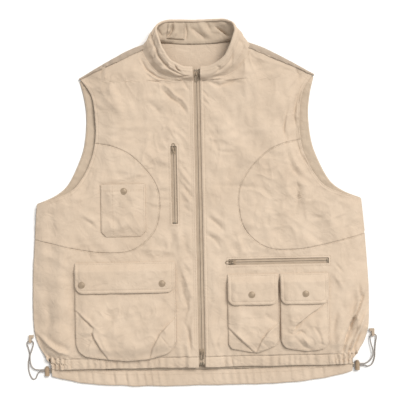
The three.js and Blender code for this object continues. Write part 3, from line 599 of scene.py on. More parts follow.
left_folds = [
    ([(11, 243), (29, 238), (45, 231), (59, 235), (77, 240), (93, 234)], 3.0, -2.6, 0.6),
    ([(14, 250), (34, 247), (52, 243), (70, 248), (90, 246)], 5, 1.4),
    ([(11, 222), (17, 216), (24, 208)], 2.4, -1.7, 0.7),
    ([(10, 206), (16, 200), (24, 192)], 2.4, -1.6, 0.7),
    ([(192, 214), (184, 186), (174, 163), (177, 140)], 7, 2.2, 0.6),
    ([(203, 206), (195, 182), (188, 160)], 6, -1.6),
    ([(186, 196), (176, 168), (172, 142), (176, 116)], 3.0, -3.0, 0.6),
    ([(205, 224), (198, 198), (194, 168), (200, 140)], 2.8, -2.6, 0.7),
    ([(198, 118), (206, 92), (222, 66)], 3.0, -2.4, 0.7),
    ([(201, 268), (205, 255), (209, 240)], 3, -2.0, 0.7),
    ([(213, 232), (204, 206), (202, 189)], 4, -1.8, 0.7),
    ([(178, 142), (180, 122), (174, 108)], 3.2, -1.5),
    ([(30, 108), (46, 100), (62, 98), (80, 102)], 4, -1.4, 0.8),
    ([(18, 120), (28, 109), (36, 102)], 5, 1.2),
    ([(9, 36), (44, 32), (84, 30), (128, 26), (146, 8), (150, -12)], 5, -1.1, 0.8),
    ([(86, 98), (112, 86), (146, 78)], 9, 1.3),
    ([(134, 88), (160, 66), (178, 36), (190, 10)], 9, 1.1),
    ([(14, -28), (34, -44), (52, -62)], 3.6, -2.2, 0.6),
    ([(18, -18), (38, -34), (58, -48)], 5, 1.4),
    ([(10, -62), (30, -76), (42, -96)], 3.2, -2.0, 0.6),
    ([(14, -52), (36, -66), (54, -84)], 4.5, 1.3),
    ([(62, -82), (72, -98), (78, -112)], 5, -1.1),
    ([(96, -104), (104, -112), (108, -118)], 3, -0.8),
    ([(197, 40), (201, 10), (194, -14)], 4, -2.4, 0.6),
    ([(208, 38), (214, 8), (206, -20)], 7, 1.7),
    ([(174, 109), (187, 64), (207, 40), (232, 27)], 6, -1.6, 0.6),
    ([(182, 112), (196, 72), (216, 48), (240, 36)], 5, 1.4),
    ([(214, -64), (232, -78), (262, -92)], 5, -1.2),
    ([(268, -126), (276, -136), (286, -148)], 2.6, -1.9, 0.5),
    ([(262, -146), (276, -162), (284, -180)], 4, 1.2),
    ([(318, -170), (320, -190), (326, -206)], 4, -2.4, 0.6),
    ([(308, -180), (306, -214), (298, -246)], 9, -2.8, 0.7),
    ([(322, -206), (312, -232), (318, -262)], 7, 2.6, 0.8),
    ([(300, -246), (300, -266), (292, -286)], 5, -2.6, 0.6),
    ([(286, -262), (274, -284), (256, -300)], 6, 1.8),
    ([(318, -262), (304, -286), (296, -304)], 5, 2.4, 0.6),
    ([(306, -276), (297, -296), (292, -312)], 2.6, -3.0, 0.6),
    ([(322, -30), (316, -80), (322, -140)], 9, 1.4),
    ([(296, -36), (292, -90), (298, -130)], 11, -1.8),
    ([(18, -170), (20, -210), (17, -250)], 6, -0.9),
    ([(40, -250), (30, -280), (34, -306)], 4, -1.4),
    ([(328, -190), (316, -222), (300, -252)], 2.8, -4.2, 0.6),
    ([(334, -226), (320, -254), (306, -280)], 4, 3.2, 0.6),
    ([(308, -232), (297, -260), (284, -288)], 2.6, -3.8, 0.6),
    ([(297, -264), (288, -286), (282, -308)], 2.4, -3.6, 0.7),
    ([(320, -266), (309, -288), (301, -308)], 2.4, -4.0, 0.6),
    ([(276, -214), (266, -244), (262, -276)], 5, -2.2, 0.7),
]
# Nothing lifts the cloth here: (centre x, centre y, half width, half height), with a soft edge.
held_flat = {
    1: [(156, -122, 108, 5), (103, -229, 54, 80), (207, -229, 54, 80)],
    -1: [(-49, 35, 4, 84), (-151, -213, 104, 96), (-152, -15, 46, 54)],
}


def resting_height(ax, y):
    """The front's smooth shape, level over the layers and lower to the sides, armholes and
    shoulders, as (height, how far round the side, distance from the shoulder seam)."""
    over = np.clip((ax - 272) / 67, 0, 1)
    high = side_fold + (front_top - side_fold) * np.cos(over * math.pi / 2)
    arm, _ = near_line(ax, y, armhole_front)
    by_arm = np.exp(-(arm / 26) ** 2) * np.clip((y - 10) / 60, 0, 1)
    high = high - 10.5 * by_arm * np.clip(1.15 - over, 0, 1)
    shoulder, along = near_line(ax, y, shoulder_seam)
    high = high - (front_top - shoulder_height(along)) * np.exp(-(shoulder / 34) ** 2)
    return high, over, shoulder


def looseness(x, y, side, shoulder):
    """How free the cloth is to crease: 0 where it is sewn or weighed down, and 1 in the open."""
    loose = np.clip((np.abs(x) - 11) / 16, 0, 1)
    for cx, cy, half_x, half_y in held_flat[side]:
        out_x, out_y = np.abs(x - cx) - half_x, np.abs(y - cy) - half_y
        away = np.hypot(np.clip(out_x, 0, None), np.clip(out_y, 0, None))
        loose = loose * np.clip(away / 12, 0, 1)
    return loose * np.clip(np.abs(shoulder) / 14, 0.12, 1)


def rumples(x, y, side, loose):
    """The creases that washing and wearing leave, and short drag lines beside the zip."""
    bend = 12 * soft_waves(x, y, 120, 31 + side)
    rumple = soft_waves(x + bend, y - bend, 64, 11 + side)
    small = soft_waves(x - bend, y + bend, 27, 17 + side)
    pinch = 1 - np.abs(soft_waves(x + 2 * bend, y + bend, 90, 23 + side)) * 2
    high = loose * (1.6 * rumple + 0.75 * small + 1.0 * np.clip(pinch, 0, 1))
    where = np.clip(0.5 + 0.9 * soft_waves(x, y, 190, 27 + side), 0, 1)
    sharp_fold = (1 - np.abs(soft_waves(x + bend, y - 2 * bend, 52, 29 + side))) ** 3
    tiny_fold = (1 - np.abs(soft_waves(x - bend, y + bend, 27, 33 + side))) ** 3
    high = high + loose * where * (1.6 * sharp_fold + 0.8 * tiny_fold)
    slant = (x + y) * 0.7071 + 0.3 * bend
    across = (x - y) * 0.7071 * 0.3
    drag = (1 - np.abs(soft_waves(slant, across, 19, 37 + side))) ** 2
    by_zip = np.exp(-((np.abs(x) - 26) / 20) ** 2) * np.clip((np.abs(x) - 9) / 8, 0, 1)
    some = np.clip(0.55 + soft_waves(x * 0.2, y, 120, 39 + side), 0, 1)
    return high + 0.75 * by_zip * drag * some


def drawn_hem(x, y, over):
    """What the cord does to the cloth above the hem: it sags, and gathers most at the corner."""
    ax = np.abs(x)
    from_end = np.clip(across_at(side_seam, y) - ax, 0, 60)
    high = -6.5 * (1 - smooth_step(from_end / 42)) * smooth_step((-232 - y) / 60)
    sag = smooth_step((-282 - y) / 46) * smooth_step((ax - 8) / 40)
    high = high - 5.5 * sag * np.clip(1.3 - 1.3 * over, 0, 1)
    reach_x, reach_y = ax - 306, y + 336
    turn = np.arctan2(reach_y, -reach_x)
    fan = np.sin(turn * 17 + 2.2 * soft_waves(x, y, 55, 45)) * (0.6 + 0.4 * soft_waves(x, y, 33, 47))
    high = high + 4.2 * fan * np.exp(-(np.hypot(reach_x, reach_y) / 44) ** 2)
    by_hem = np.exp(-np.clip(y + 312, 0, None) / 26)
    gather = np.sin(2 * math.pi * (ax / 17.5 + 0.9 * soft_waves(x, y * 0.4, 90, 41)))
    gather = gather * (0.6 + 0.4 * soft_waves(x, y * 0.2, 60, 43))
    return high + 1.15 * gather * by_hem * np.clip((ax - 12) / 14, 0, 1)


def sewn_lines(x, y, loose):
    """The grooves of the inset's seam and of the rows beside the zip, with the edge turned in."""
    ax = np.abs(x)
    seam, _ = near_line(ax, y, inset_seam)
    pucker = 0.28 * np.exp(-(seam / 7) ** 2) * soft_waves(x, y, 8, 51)
    edge = np.clip((ax - 6.5) / 1.4, 0, 1)
    return (pucker * loose - 0.4 * np.exp(-(seam / 1.3) ** 2) - 0.5 * (1 - edge) ** 2
            + 0.35 * np.exp(-((ax - 9) / 1.6) ** 2) - 0.4 * np.exp(-((ax - 14) / 1.2) ** 2))


def front_height(x, y, side):
    """The height of the front's face above the table."""
    ax = np.abs(x)
    high, over, shoulder = resting_height(ax, y)
    loose = looseness(x, y, side, shoulder)
    folds = 1.45 * creases(x, y, right_folds if side < 0 else left_folds)
    by_corner = 1 + 0.7 * smooth_step((ax - 250) / 40) * smooth_step((-120 - y) / 60)
    high = (high + rumples(x, y, side, loose) + drawn_hem(x, y, over) + sewn_lines(x, y, loose)
            + folds * by_corner * np.clip((ax - 8.5) / 4, 0, 1))
    least = 3.4 + 1.4 * np.clip(1.2 - over, 0, 1)
    return least + np.logaddexp(0, (high - least) * 1.6) / 1.6


def front_edges(y):
    """The x of the zip or neck edge and of the outer edge, at each y."""
    inner = np.where(y < 243, 6.5, across_at(neck_seam, y))
    outer_line = np.vstack([side_seam[::-1], armhole_front[::-1], shoulder_seam[::-1][1:]])
    return inner, across_at(outer_line, y)


zip_windows = {1: (56, 257.5, -128.4, -115.6), -1: (-55.4, -42.6, -43.5, 113.5)}


def front_cloth(side):
    """The whole front as one fine grid, cut along the inset's seam, as two pieces."""
    wide, tall = 134, 250
    bm = bmesh.new()
    bmesh.ops.create_grid(bm, x_segments=wide, y_segments=tall, size=1)
    flat = np.array([v.co for v in bm.verts])
    u = (flat[:, 0] + 1) / 2
    y = -310.2 + 617.2 * (flat[:, 1] + 1) / 2
    low, high = front_edges(y)
    w = u if side > 0 else 1 - u
    x = low + (high - low) * w
    gap = np.abs(near_line(x, y, inset_seam)[0]) * np.where(inside(x, y, inset_outline), -1, 1)
    at = {v.index: i for i, v in enumerate(bm.verts)}
    pairs = np.array([[at[v.index] for v in e.verts] for e in bm.edges])
    crossing = pairs[(gap[pairs[:, 0]] * gap[pairs[:, 1]] < 0)
                     & (np.abs(gap[pairs]).sum(axis=1) < 9)]
    shift = {}
    for a, b in crossing:
        t = gap[a] / (gap[a] - gap[b])
        if t > 0.5:
            a, b, t = b, a, 1 - t
        if a not in shift or t < shift[a][2]:
            shift[a] = (x[a] + t * (x[b] - x[a]), y[a] + t * (y[b] - y[a]), t)
    for i, (new_x, new_y, _) in shift.items():
        x[i], y[i], gap[i] = new_x, new_y, 0
    z = front_height(side * x, y, side)
    on_seam = set(shift)
    for i, vert in enumerate(bm.verts):
        vert.co = (side * x[i] * mm, y[i] * mm, z[i] * mm)
        vert.index = i
    for face in list(bm.faces):
        corners = [v for v in face.verts]
        for a, b in ((0, 2), (1, 3)):
            pair, rest = (corners[a], corners[b]), (corners[1 - a], corners[3 - a])
            if all(v.index in on_seam for v in pair) and not any(v.index in on_seam for v in rest):
                bmesh.utils.face_split(face, *pair)
                break
    bm.verts.index_update()
    x0, x1, y0, y1 = (edge * mm for edge in zip_windows[side])
    middles = [(f, f.calc_center_median()) for f in bm.faces]
    opening = [f for f, c in middles if x0 < c.x < x1 and y0 < c.y < y1]
    bmesh.ops.delete(bm, geom=opening, context="FACES")
    return bm


def keep_side(bm, want_inset, side):
    """A copy of the front with only the inset's faces, or only the others."""
    part = bm.copy()
    faces = list(part.faces)
    middle = np.array([f.calc_center_median() for f in faces]) / mm
    within = inside(middle[:, 0] * side, middle[:, 1], inset_outline)
    drop = [f for f, hit in zip(faces, within) if hit != want_inset]
    bmesh.ops.delete(part, geom=drop, context="FACES")
    return part


for side, name in ((1, "left"), (-1, "right")):
    whole = front_cloth(side)
    cut_cloth(name + "_front_cloth", keep_side(whole, False, side), shell_cloth,
                             name + "_front_panel", 1.2)
    cut_cloth(name + "_inset_cloth", keep_side(whole, True, side), shell_cloth,
              name + "_armhole_inset", 1.2)
    whole.free()


# ---- Shoulder folds ----
# The yoke's cloth comes over each shoulder as a soft roll and laps onto the front panel's top
# edge, where it is topstitched down. The roll is coloured darker than the yoke: painted shade.
def wrap_place(side):
    """Round the fold: v runs from under the back, over the fold, to the seam on the front."""
    def place(u, v):
        t = u if side > 0 else 1 - u
        marks = np.linspace(0, 1, len(shoulder_seam))
        seam, fold = points_at(shoulder_seam, marks, t), points_at(shoulder_fold, marks, t)
        out = np.array((0.47, 0.88))
        depth = np.maximum((fold - seam) @ out, 0.2) + 2.2
        high = np.maximum(front_height(side * seam[:, 0], seam[:, 1] - 1.5, side),
                          front_height(side * seam[:, 0], seam[:, 1] + 1.5, side)) + 1.3
        bulge = np.minimum(depth, 12.5)
        round_v = np.clip(v / 0.55, 0, 1)
        slide = np.clip((v - 0.55) / 0.45, 0, 1)
        angle = (round_v - 0.5) * math.pi
        start = fold - out * bulge[:, None]
        spot = start + out * (bulge * np.cos(angle) - slide * (depth - bulge))[:, None]
        low = 1.6
        crown = high + 0.2
        z = low + (crown - low) * (0.5 + 0.5 * np.sin(angle)) + (high - crown) * smooth_step(slide)
        ripple = 0.8 * soft_waves(side * spot[:, 0], spot[:, 1] * 0.6, 13, 5)
        puckers = ripple * np.sin(np.pi * np.clip(v, 0, 1)) * np.clip(depth / 8, 0, 1)
        return side * spot[:, 0], spot[:, 1], z + puckers
    return place


# The roll is the yoke's own shell cotton; this darker copy of it is painted shade, where the roll falls away
# from the light.
painted_shade_shoulder_cloth = cotton_finish("painted_shade_shoulder_cotton", linear(150, 134, 118), linear(180, 164, 147))
for side, name in ((1, "left"), (-1, "right")):
    bm = shaped_grid(110, 34, wrap_place(side))
    face_up(bm, above=16 * mm)
    cut_cloth(name + "_painted_shade_shoulder_cloth", bm, painted_shade_shoulder_cloth, "back_yoke", 0.9)


# ---- Hem casings ----
# The hem is turned up and stitched down as a flat tube for the cord. The drop tail behind is one
# casing, whose turning runs on up under the fronts, and each front has its own, 22 mm high.
def tube_section(v, width, depth):
    """A flattened tube's section: how far down from its top line, and how high, for v from 0 to 1."""
    turn = 2 * math.pi * v
    across = np.sign(np.cos(turn)) * np.abs(np.cos(turn)) ** 0.75
    up = np.sign(np.sin(turn)) * np.abs(np.sin(turn)) ** 0.6
    return (1 - across) / 2 * width, up * depth / 2


def tail_place(u, v):
    x = (2 * u - 1) * hem_half
    down, up = tube_section(v, tail_band - 0.4, 7.0)
    y = tail_edge(x) + tail_band - down
    inner = np.sin(np.pi * np.clip(down / tail_band, 0, 1)) ** 0.6
    small = 0.35 * soft_waves(x, y * 1.5, 9, 64) + 0.4 * soft_waves(x, y, 24, 66)
    z = 3.9 + up + np.where(up > 0, 1, 0.0) * (1.6 * tail_gathers(x + 0.12 * (y + 340)) + small) * inner
    y = y + 0.6 * soft_waves(x, y, 45, 63)
    return x, y, np.maximum(z, 0.15)


bm = shaped_grid(300, 40, tail_place)
bmesh.ops.remove_doubles(bm, verts=bm.verts, dist=0.02 * mm)
bmesh.ops.recalc_face_normals(bm, faces=bm.faces)
tail = cut_cloth("tail_casing_cloth", bm, shell_cloth, "back_hem_casing", 0,
                 layers=2)


def front_hem_place(side):
    def place(u, v):
        w = u if side > 0 else 1 - u
        down, up = tube_section(v, 21.8, 5.0)
        corner = smooth_step((w - 0.8) / 0.2)
        y = -309.9 - down + 7 * corner * (1 - down / 22)
        end = np.where(y > -321, across_at(side_seam, y) + 1.2, 302.8)
        ax = 6.8 + (end - 6.8) * w
        x = side * ax
        y = y + 0.5 * soft_waves(x, 0 * x, 60, 65 + side)
        hang = 2.6 * smooth_step((ax - 8) / 40) * (1 - corner)
        top = front_height(x, 0 * x - 308.5, side) + 0.4 - hang * (down / 22)
        gather = np.sin(2 * math.pi * (ax / 16 + 0.8 * soft_waves(x, 0 * x, 110, 67)))
        bunch = np.sin(2 * math.pi * (ax / 8.5 - down / 40 + 0.5 * soft_waves(x, y, 60, 69)))
        small = 0.35 * soft_waves(x, y * 1.6, 8, 71) + 0.45 * soft_waves(x, y, 22, 73)
        inner = np.sin(np.pi * np.clip(down / 21.8, 0, 1)) ** 0.6
        free = np.clip((ax - 14) / 20, 0, 1)
        run = ax / 19 + 0.7 * soft_waves(x, 0 * x, 120, 79) - down / 90
        some = np.clip(soft_waves(x, 0 * x, 60, 81) + 0.3, 0, 1.3)
        tucks = np.exp(-((run - np.round(run)) / 0.08) ** 2) * some
        puff = 0.8 * gather + 1.2 * small - 1.7 * tucks
        z = top - 2.5 + up + puff * inner * free + 3.4 * corner * bunch * inner
        return x, y, np.maximum(z, 8.8 - 2.4 * corner)
    return place


for side, name in ((1, "left"), (-1, "right")):
    bm = shaped_grid(230, 36, front_hem_place(side))
    bmesh.ops.remove_doubles(bm, verts=bm.verts, dist=0.02 * mm)
    bmesh.ops.recalc_face_normals(bm, faces=bm.faces)
    cut_cloth(name + "_hem_cloth", bm, shell_cloth, name + "_hem_casing", 0,
              layers=2)


# ---- Pockets ----
# Four patch pockets of the same cloth, sewn down at the sides and bottom. Boxed corners, folded
# and pressed flat, give the lower three their depth, and the chest pocket is a shallow patch.
pockets = {
    "cargo_pocket": dict(
        left=-252, right=-50, top=-134, bottom=-312, corner=30, depth=13.2, mouth=7, calm=44, wall=0.46,
        folds=[([(-262, -203), (-246, -217), (-232, -231), (-212, -249)], 1.8),
               ([(-220, -252), (-214, -268), (-204, -286), (-182, -320)], 3.2),
               ([(-40, -218), (-68, -244), (-84, -261), (-99, -290), (-108, -322)], 2.2)],
        sole=[(-252, -303), (-236, -305), (-205, -310), (-151, -316), (-106, -313), (-78, -305), (-50, -299)],
        lines=[([(-216, -246), (-218, -258), (-217, -270)], 2.4, -2.6, 0.6),
               ([(-217, -270), (-227, -282), (-240, -297)], 1.8, -1.7, 0.8),
               ([(-246, -213), (-229, -228), (-211, -243)], 3.4, 2.0, 0.6),
               ([(-83, -264), (-71, -279), (-58, -295)], 1.6, -2.0, 0.7),
               ([(-200, -262), (-194, -284), (-182, -304)], 5, 1.8, 0.6),
               ([(-170, -246), (-190, -256), (-206, -262)], 5, 1.2),
               ([(-150, -150), (-154, -200), (-146, -270)], 14, -1.6)]),
    "inner_pocket": dict(
        left=53, right=155, top=-162.5, bottom=-306, corner=14, depth=11.2, mouth=7, calm=44, wall=0.46,
        folds=[([(44, -244), (66, -265), (86, -284), (116, -315)], 3.4),
               ([(164, -236), (133, -260), (120, -277), (111, -297), (106, -316)], 2.4)],
        sole=[(53, -294), (74, -298), (94, -302), (111, -304), (130, -298), (144, -292), (155, -288)],
        lines=[([(118, -279), (130, -290), (144, -300)], 1.8, -2.0, 0.7),
               ([(104, -214), (112, -240), (108, -270)], 10, -1.6),
               ([(126, -224), (138, -236), (152, -244)], 4.5, -2.2),
               ([(140, -256), (146, -274), (144, -296)], 3, 1.2)]),
    "outer_pocket": dict(
        left=158, right=256, top=-162.5, bottom=-304, corner=18, depth=11.2, mouth=7, calm=44, wall=0.46,
        folds=[([(180, -268), (190, -250), (212, -232), (234, -218), (256, -198)], 3.0)],
        sole=[(158, -293), (184, -299), (209, -303), (234, -301), (256, -295)],
        lines=[([(166, -262), (182, -268), (198, -262), (208, -268)], 2.6, -2.4, 0.6),
               ([(172, -256), (190, -258), (204, -256)], 3.4, 2.0, 0.8),
               ([(196, -266), (212, -288), (234, -302)], 4.5, 2.4, 0.6),
               ([(186, -272), (203, -292), (224, -304)], 3, -2.4),
               ([(222, -250), (236, -272), (240, -292)], 3.4, -2.6, 0.6),
               ([(232, -286), (244, -290), (254, -297)], 2.2, -2.2, 0.7)]),
    "chest_pocket": dict(
        left=-197, right=-107, top=38, bottom=-67, corner=11, depth=5.6, mouth=6.8, calm=0,
        wall=0.36, folds=[], sole=[(-197, -67), (-107, -67)],
        lines=[([(-176, 22), (-172, 6), (-170, -10)], 4, -0.8),
               ([(-128, 14), (-116, 8), (-108, 4)], 2.5, -1.1),
               ([(-190, -34), (-150, -44), (-112, -40)], 9, 0.8)]),
}


def pocket_roof(x, y, pocket, seed):
    """How high the pocket's face stands above the panel."""
    fall = (pocket["top"] - y) / (pocket["top"] - pocket["bottom"])
    high = pocket["mouth"] + (pocket["depth"] - pocket["mouth"]) * smooth_step((fall - 0.15) / 0.5)
    high = high * (1 - 0.35 * smooth_step((fall - 0.82) / 0.18))
    bend = 5 * soft_waves(x, y, 70, seed)
    drawn = (1 - np.abs(soft_waves(x - bend, y + 2 * bend, 40, seed + 3))) ** 3
    rumple = (1.6 * soft_waves(x + bend, y - bend, 52, seed + 1) + 0.9 * drawn
              + 0.75 * soft_waves(x + bend, y, 22, seed + 2))
    high = high + rumple * smooth_step((pocket["top"] - y - pocket["calm"]) / 26)
    for line, drop in pocket["folds"]:
        signed, along = near_line(x, y, line)
        ends = smooth_step(along / 0.14) * smooth_step((1 - along) / 0.14)
        lower = smooth_step(0.5 - signed / 2.0)
        step = -1.5 * drop * lower * np.exp(np.clip(signed, None, 0) / 30)
        lip = 1.2 * np.exp(-((signed - 2.8) / 2.8) ** 2) - 2.3 * np.exp(-(signed / 1.3) ** 2)
        high = high + (step + lip) * ends
    return high + creases(x, y, pocket["lines"])


def corner_tuck(y, pocket):
    """How far the pocket's side comes in at its lower corners."""
    corner = pocket["corner"]
    rise = np.clip(corner - (y - pocket["bottom"]), 0, corner)
    if pocket is pockets["chest_pocket"]:
        return rise
    return corner - np.sqrt(np.maximum(corner ** 2 - rise ** 2, 0))


def above_sole(x, y, pocket):
    """Where y lies between the pocket's bowed lower edge, as 0, and its mouth, as 1."""
    sole = np.interp(x, *np.transpose(pocket["sole"]))
    return (y - sole) / (pocket["top"] - sole)


def bow_down(x, v, pocket):
    """The y at which above_sole is v."""
    sole = np.interp(x, *np.transpose(pocket["sole"]))
    return sole + (pocket["top"] - sole) * v


def pocket_face(x, y, pocket, seed):
    """The pocket's face above the table: a low upright wall at the seam, then a broad dome."""
    square_y = pocket["bottom"] + (pocket["top"] - pocket["bottom"]) * above_sole(x, y, pocket)
    tuck = corner_tuck(square_y, pocket)
    edge = np.minimum(x - pocket["left"] - tuck * 0.8, pocket["right"] - tuck * 0.8 - x)
    edge = np.maximum(np.minimum(edge, square_y - pocket["bottom"]), 0)
    low = pocket["wall"]
    wall = low * smooth_step((edge + 0.4) / 1.8) + (1 - low) * smooth_step(edge / 24)
    return front_top + 0.45 + pocket_roof(x, y, pocket, seed) * wall


def pocket_place(pocket, seed):
    def place(u, v):
        tuck = corner_tuck(pocket["bottom"] + (pocket["top"] - pocket["bottom"]) * v, pocket)
        x = pocket["left"] + tuck + (pocket["right"] - pocket["left"] - 2 * tuck) * u
        y = bow_down(x, v, pocket)
        return x, y, pocket_face(x, y, pocket, seed)
    return place


for seed, (name, pocket) in enumerate(pockets.items()):
    wide = int((pocket["right"] - pocket["left"]) / 1.4)
    tall = int((pocket["top"] - pocket["bottom"]) / 1.4)
    bm = shaped_grid(wide, tall, pocket_place(pocket, 70 + 10 * seed))
    cut_cloth(name + "_cloth", bm, shell_cloth, name, 1.1)


# ---- Pocket flaps ----
# Two layers of the cloth, turned and topstitched, hinged on a seam above each lower pocket.
# They lie over the mouth and are held down by their snaps.
flaps = {
    "cargo_flap": dict(left=-251, right=-51, hinge=-118, radius=20),
    "inner_flap": dict(left=54, right=154, hinge=-146.5, radius=16),
    "outer_flap": dict(left=159, right=255, hinge=-146.5, radius=16),
}
flap_drop = 61
snap_points = {"cargo_flap": [(-236.5, -160.5), (-76.5, -160.5)], "inner_flap": [(101.5, -186.5)],
               "outer_flap": [(209, -186.5)]}
flap_thick = 1.9


def flap_face(x, y, flap, seed):
    """The height of a flap's upper face."""
    fall = flap["hinge"] - y
    to_side = np.minimum(x - flap["left"], flap["right"] - x)
    stiff = 0.7 + 0.3 * smooth_step(to_side / 17)
    high = 23.9 + (34.0 - 23.9) * smooth_step(fall / 18) * stiff
    wave = 0.8 * soft_waves(x, y, 46, seed) + 0.35 * soft_waves(x, y, 17, seed + 1)
    for sx, sy in next(points for key, points in snap_points.items() if flaps[key] is flap):
        near = np.exp(-(np.hypot(x - sx, y - sy) / 11) ** 2)
        wave = wave * (1 - near) - 0.3 * near
    edge = np.minimum(to_side, y - (flap["hinge"] - flap_drop))
    wave = wave - 0.5 * np.exp(-np.clip(edge, 0, None) / 1.1) + 0.25 * np.exp(-((edge - 3.4) / 2) ** 2)
    wave = wave - 0.6 * np.exp(-((edge - 7.0) / 1.1) ** 2)
    return high + wave * smooth_step(fall / 8)


for seed, (name, flap) in enumerate(flaps.items()):
    def place(u, v):
        y = flap["hinge"] - flap_drop + flap_drop * v
        rise = np.clip(flap["radius"] - (y - flap["hinge"] + flap_drop), 0, flap["radius"])
        tuck = flap["radius"] - np.sqrt(np.maximum(flap["radius"] ** 2 - rise ** 2, 0))
        x = flap["left"] + tuck + (flap["right"] - flap["left"] - 2 * tuck) * u
        return x, y, flap_face(x, y, flap, 120 + seed * 4)
    wide = int((flap["right"] - flap["left"]) / 1.3)
    bm = shaped_grid(wide, 50, place)
    cut_cloth(name + "_cloth", bm, shell_cloth, name, flap_thick,
              body=name)


# ---- Collar ----
# A stand collar of two bands sewn into the neck: shell cloth outside, lining inside, joined along
# a rolled top edge. The back of it lies flat and the front stands open, dented where it leans.
seam_ring = [(7.5, 244, 24.2), (28, 244.5, 24.2), (71, 260, 24.2), (95, 286, 24.2), (103, 309, 24.2),
             (97, 321, 24.2), (86, 327, 18), (66, 328, 8), (34, 325, 2.6), (0, 324, 2.2)]
top_ring = [(7.5, 266, 31), (28, 268, 34), (53, 281.5, 40), (67, 303, 45), (74, 323, 46), (79, 340, 43),
            (77, 355, 33), (60, 366, 17), (32, 368, 8), (0, 367.5, 4.6)]


def whole_ring(half):
    """A ring from the left front round the back to the right front, as an even fine line."""
    line = smooth_line(half + [(-x, y, z) for x, y, z in half[-2::-1]], 360)
    done = run_along(line)
    return points_at(line, done, np.linspace(0, done[-1], 361))


seam_line, top_line = whole_ring(seam_ring), whole_ring(top_ring)
collar_steps = np.linspace(0, 1, 361)
band_long, band_high = 420, 40
# Creases of the band laid out flat, then those of its back as it lies.
band_dents = [([(296, 24), (336, 25), (376, 22), (410, 15)], 3.6, -4.6, 0.6),
              ([(384, 40), (389, 30), (398, 24)], 2.8, -5.4, 0.6),
              ([(372, 38), (376, 28), (372, 20)], 3, 2.2),
              ([(334, 2), (340, 13), (336, 24)], 3.4, -2.6, 0.7),
              ([(304, 40), (310, 28), (306, 14)], 3.2, -4.4, 0.6),
              ([(392, 2), (402, 12), (414, 18)], 3, -3.0, 0.7),
              ([(20, 16), (52, 22), (92, 24), (126, 20)], 3.6, -2.2, 0.7),
              ([(30, 38), (36, 28), (32, 18)], 3, -2.4, 0.6),
              ([(118, 40), (122, 28), (116, 16)], 3.0, -5.0, 0.6),
              ([(52, 2), (64, 18), (80, 34)], 5, -2.6, 0.6),
              ([(96, 0), (102, 18), (98, 38)], 5, -1.8, 0.7),
              ([(152, 4), (168, 16), (196, 20)], 4, -1.4, 0.7),
              ([(236, 12), (262, 18), (282, 8)], 4, -1.5, 0.7),
              ([(318, 0), (324, 20), (316, 38)], 5, -3.2, 0.6),
              ([(352, 2), (360, 16), (378, 30)], 5, -3.0, 0.6)]
back_dents = [([(-46, 362), (-49, 345), (-62, 326)], 2.6, -3.6, 0.6),
              ([(-40, 360), (-40, 342), (-50, 326)], 4, 1.8),
              ([(-20, 362), (-19, 344), (-20, 326)], 2.4, -3.0, 0.7),
              ([(-10, 352), (2, 338), (20, 326)], 4.5, -3.6, 0.6),
              ([(6, 364), (16, 346), (34, 328)], 6, 2.2),
              ([(22, 364), (26, 354), (30, 344)], 3, -1.4),
              ([(40, 352), (56, 340), (74, 326)], 3, -4.2, 0.5),
              ([(44, 364), (60, 354), (72, 340)], 6, 2.0),
              ([(-80, 352), (-74, 344), (-68, 334)], 2.4, -1.8, 0.7)]


def to_front(u):
    """1 at the collar's front ends, falling to 0 by its back."""
    return smooth_step(1 - 2.5 * np.minimum(u, 1 - u))


def collar_face(u, v, depth):
    """A point on the collar: u from the left front to the right front, v from seam to top edge."""
    low, high = points_at(seam_line, collar_steps, u), points_at(top_line, collar_steps, u)
    run = points_at(np.gradient(seam_line + top_line, axis=0) / 2, collar_steps, u)
    out = np.cross(run, high - low)
    out /= np.linalg.norm(out, axis=1)[:, None]
    spot = low + (high - low) * v[:, None]
    front = np.clip(1 - 2.3 * np.minimum(u, 1 - u), 0, 1)
    bow = 4.8 * np.sin(np.pi * np.clip(v, 0, 1)) ** 0.8 * (0.2 + front)
    along, up = u * band_long, v * band_high
    ripple = 1.4 * soft_waves(along, 0.55 * up, 52, 91) + 0.8 * soft_waves(along, up, 24, 92)
    dents = creases(along, up, band_dents)
    calm = np.clip(np.minimum(u, 1 - u) / 0.03, 0, 1) * np.clip(v / 0.12, 0, 1)
    back = np.clip(np.abs(u - 0.5) / 0.1, 0.35, 1)
    shift = (bow + (ripple + dents) * calm * back) * np.clip((1.02 - v) / 0.2, 0.25, 1) - depth
    spot = spot + out * shift[:, None]
    behind = smooth_step((spot[:, 1] - 322) / 6) * np.clip(v * (1 - v) * 5, 0, 1)
    spot[:, 2] = spot[:, 2] + 1.9 * behind * creases(spot[:, 0], spot[:, 1], back_dents)
    spot[:, 2] = np.maximum(spot[:, 2], 1.7)
    return spot, out


def outer_place(u, v):
    """The outer band, from its foot on the neck seam, then the roll over the top edge."""
    up = np.clip(v / 0.78, 0, 1) * 0.96
    turn = np.clip((v - 0.78) / 0.2, 0, 1) * math.pi
    spot, out = collar_face(u, up, 0.7 - 0.9 * smooth_step((v - 0.55) / 0.25))
    upward = points_at(top_line - seam_line, collar_steps, u)
    upward /= np.linalg.norm(upward, axis=1)[:, None]
    foot = np.clip(1 - up / 0.3, 0, 1) ** 2 * np.clip((spot[:, 2] - 14) / 8, 0, 1)
    by_shoulder = smooth_step((spot[:, 1] - 278) / 20) * smooth_step((318 - spot[:, 1]) / 8)
    spot = spot + out * ((4.6 + 3.2 * by_shoulder) * foot)[:, None] * (1, 1, 0)
    side = np.where(spot[:, 0] > 0, 1, -1)
    left, right = (front_height(spot[:, 0], spot[:, 1], which) for which in (1, -1))
    spot[:, 2] = spot[:, 2] + (np.where(side > 0, left, right) - 0.5 - spot[:, 2]) * foot
    lip = 2.0 + 2.3 * to_front(u) + 0.3 * soft_waves(u * band_long, 0 * u, 18, 95)
    spot = spot + upward * (lip * np.sin(turn))[:, None] - out * (lip * (1 - np.cos(turn)))[:, None]
    spot = spot - upward * (3 * np.clip((v - 0.97) / 0.03, 0, 1))[:, None]
    return spot[:, 0], spot[:, 1], np.maximum(spot[:, 2], 1.9)


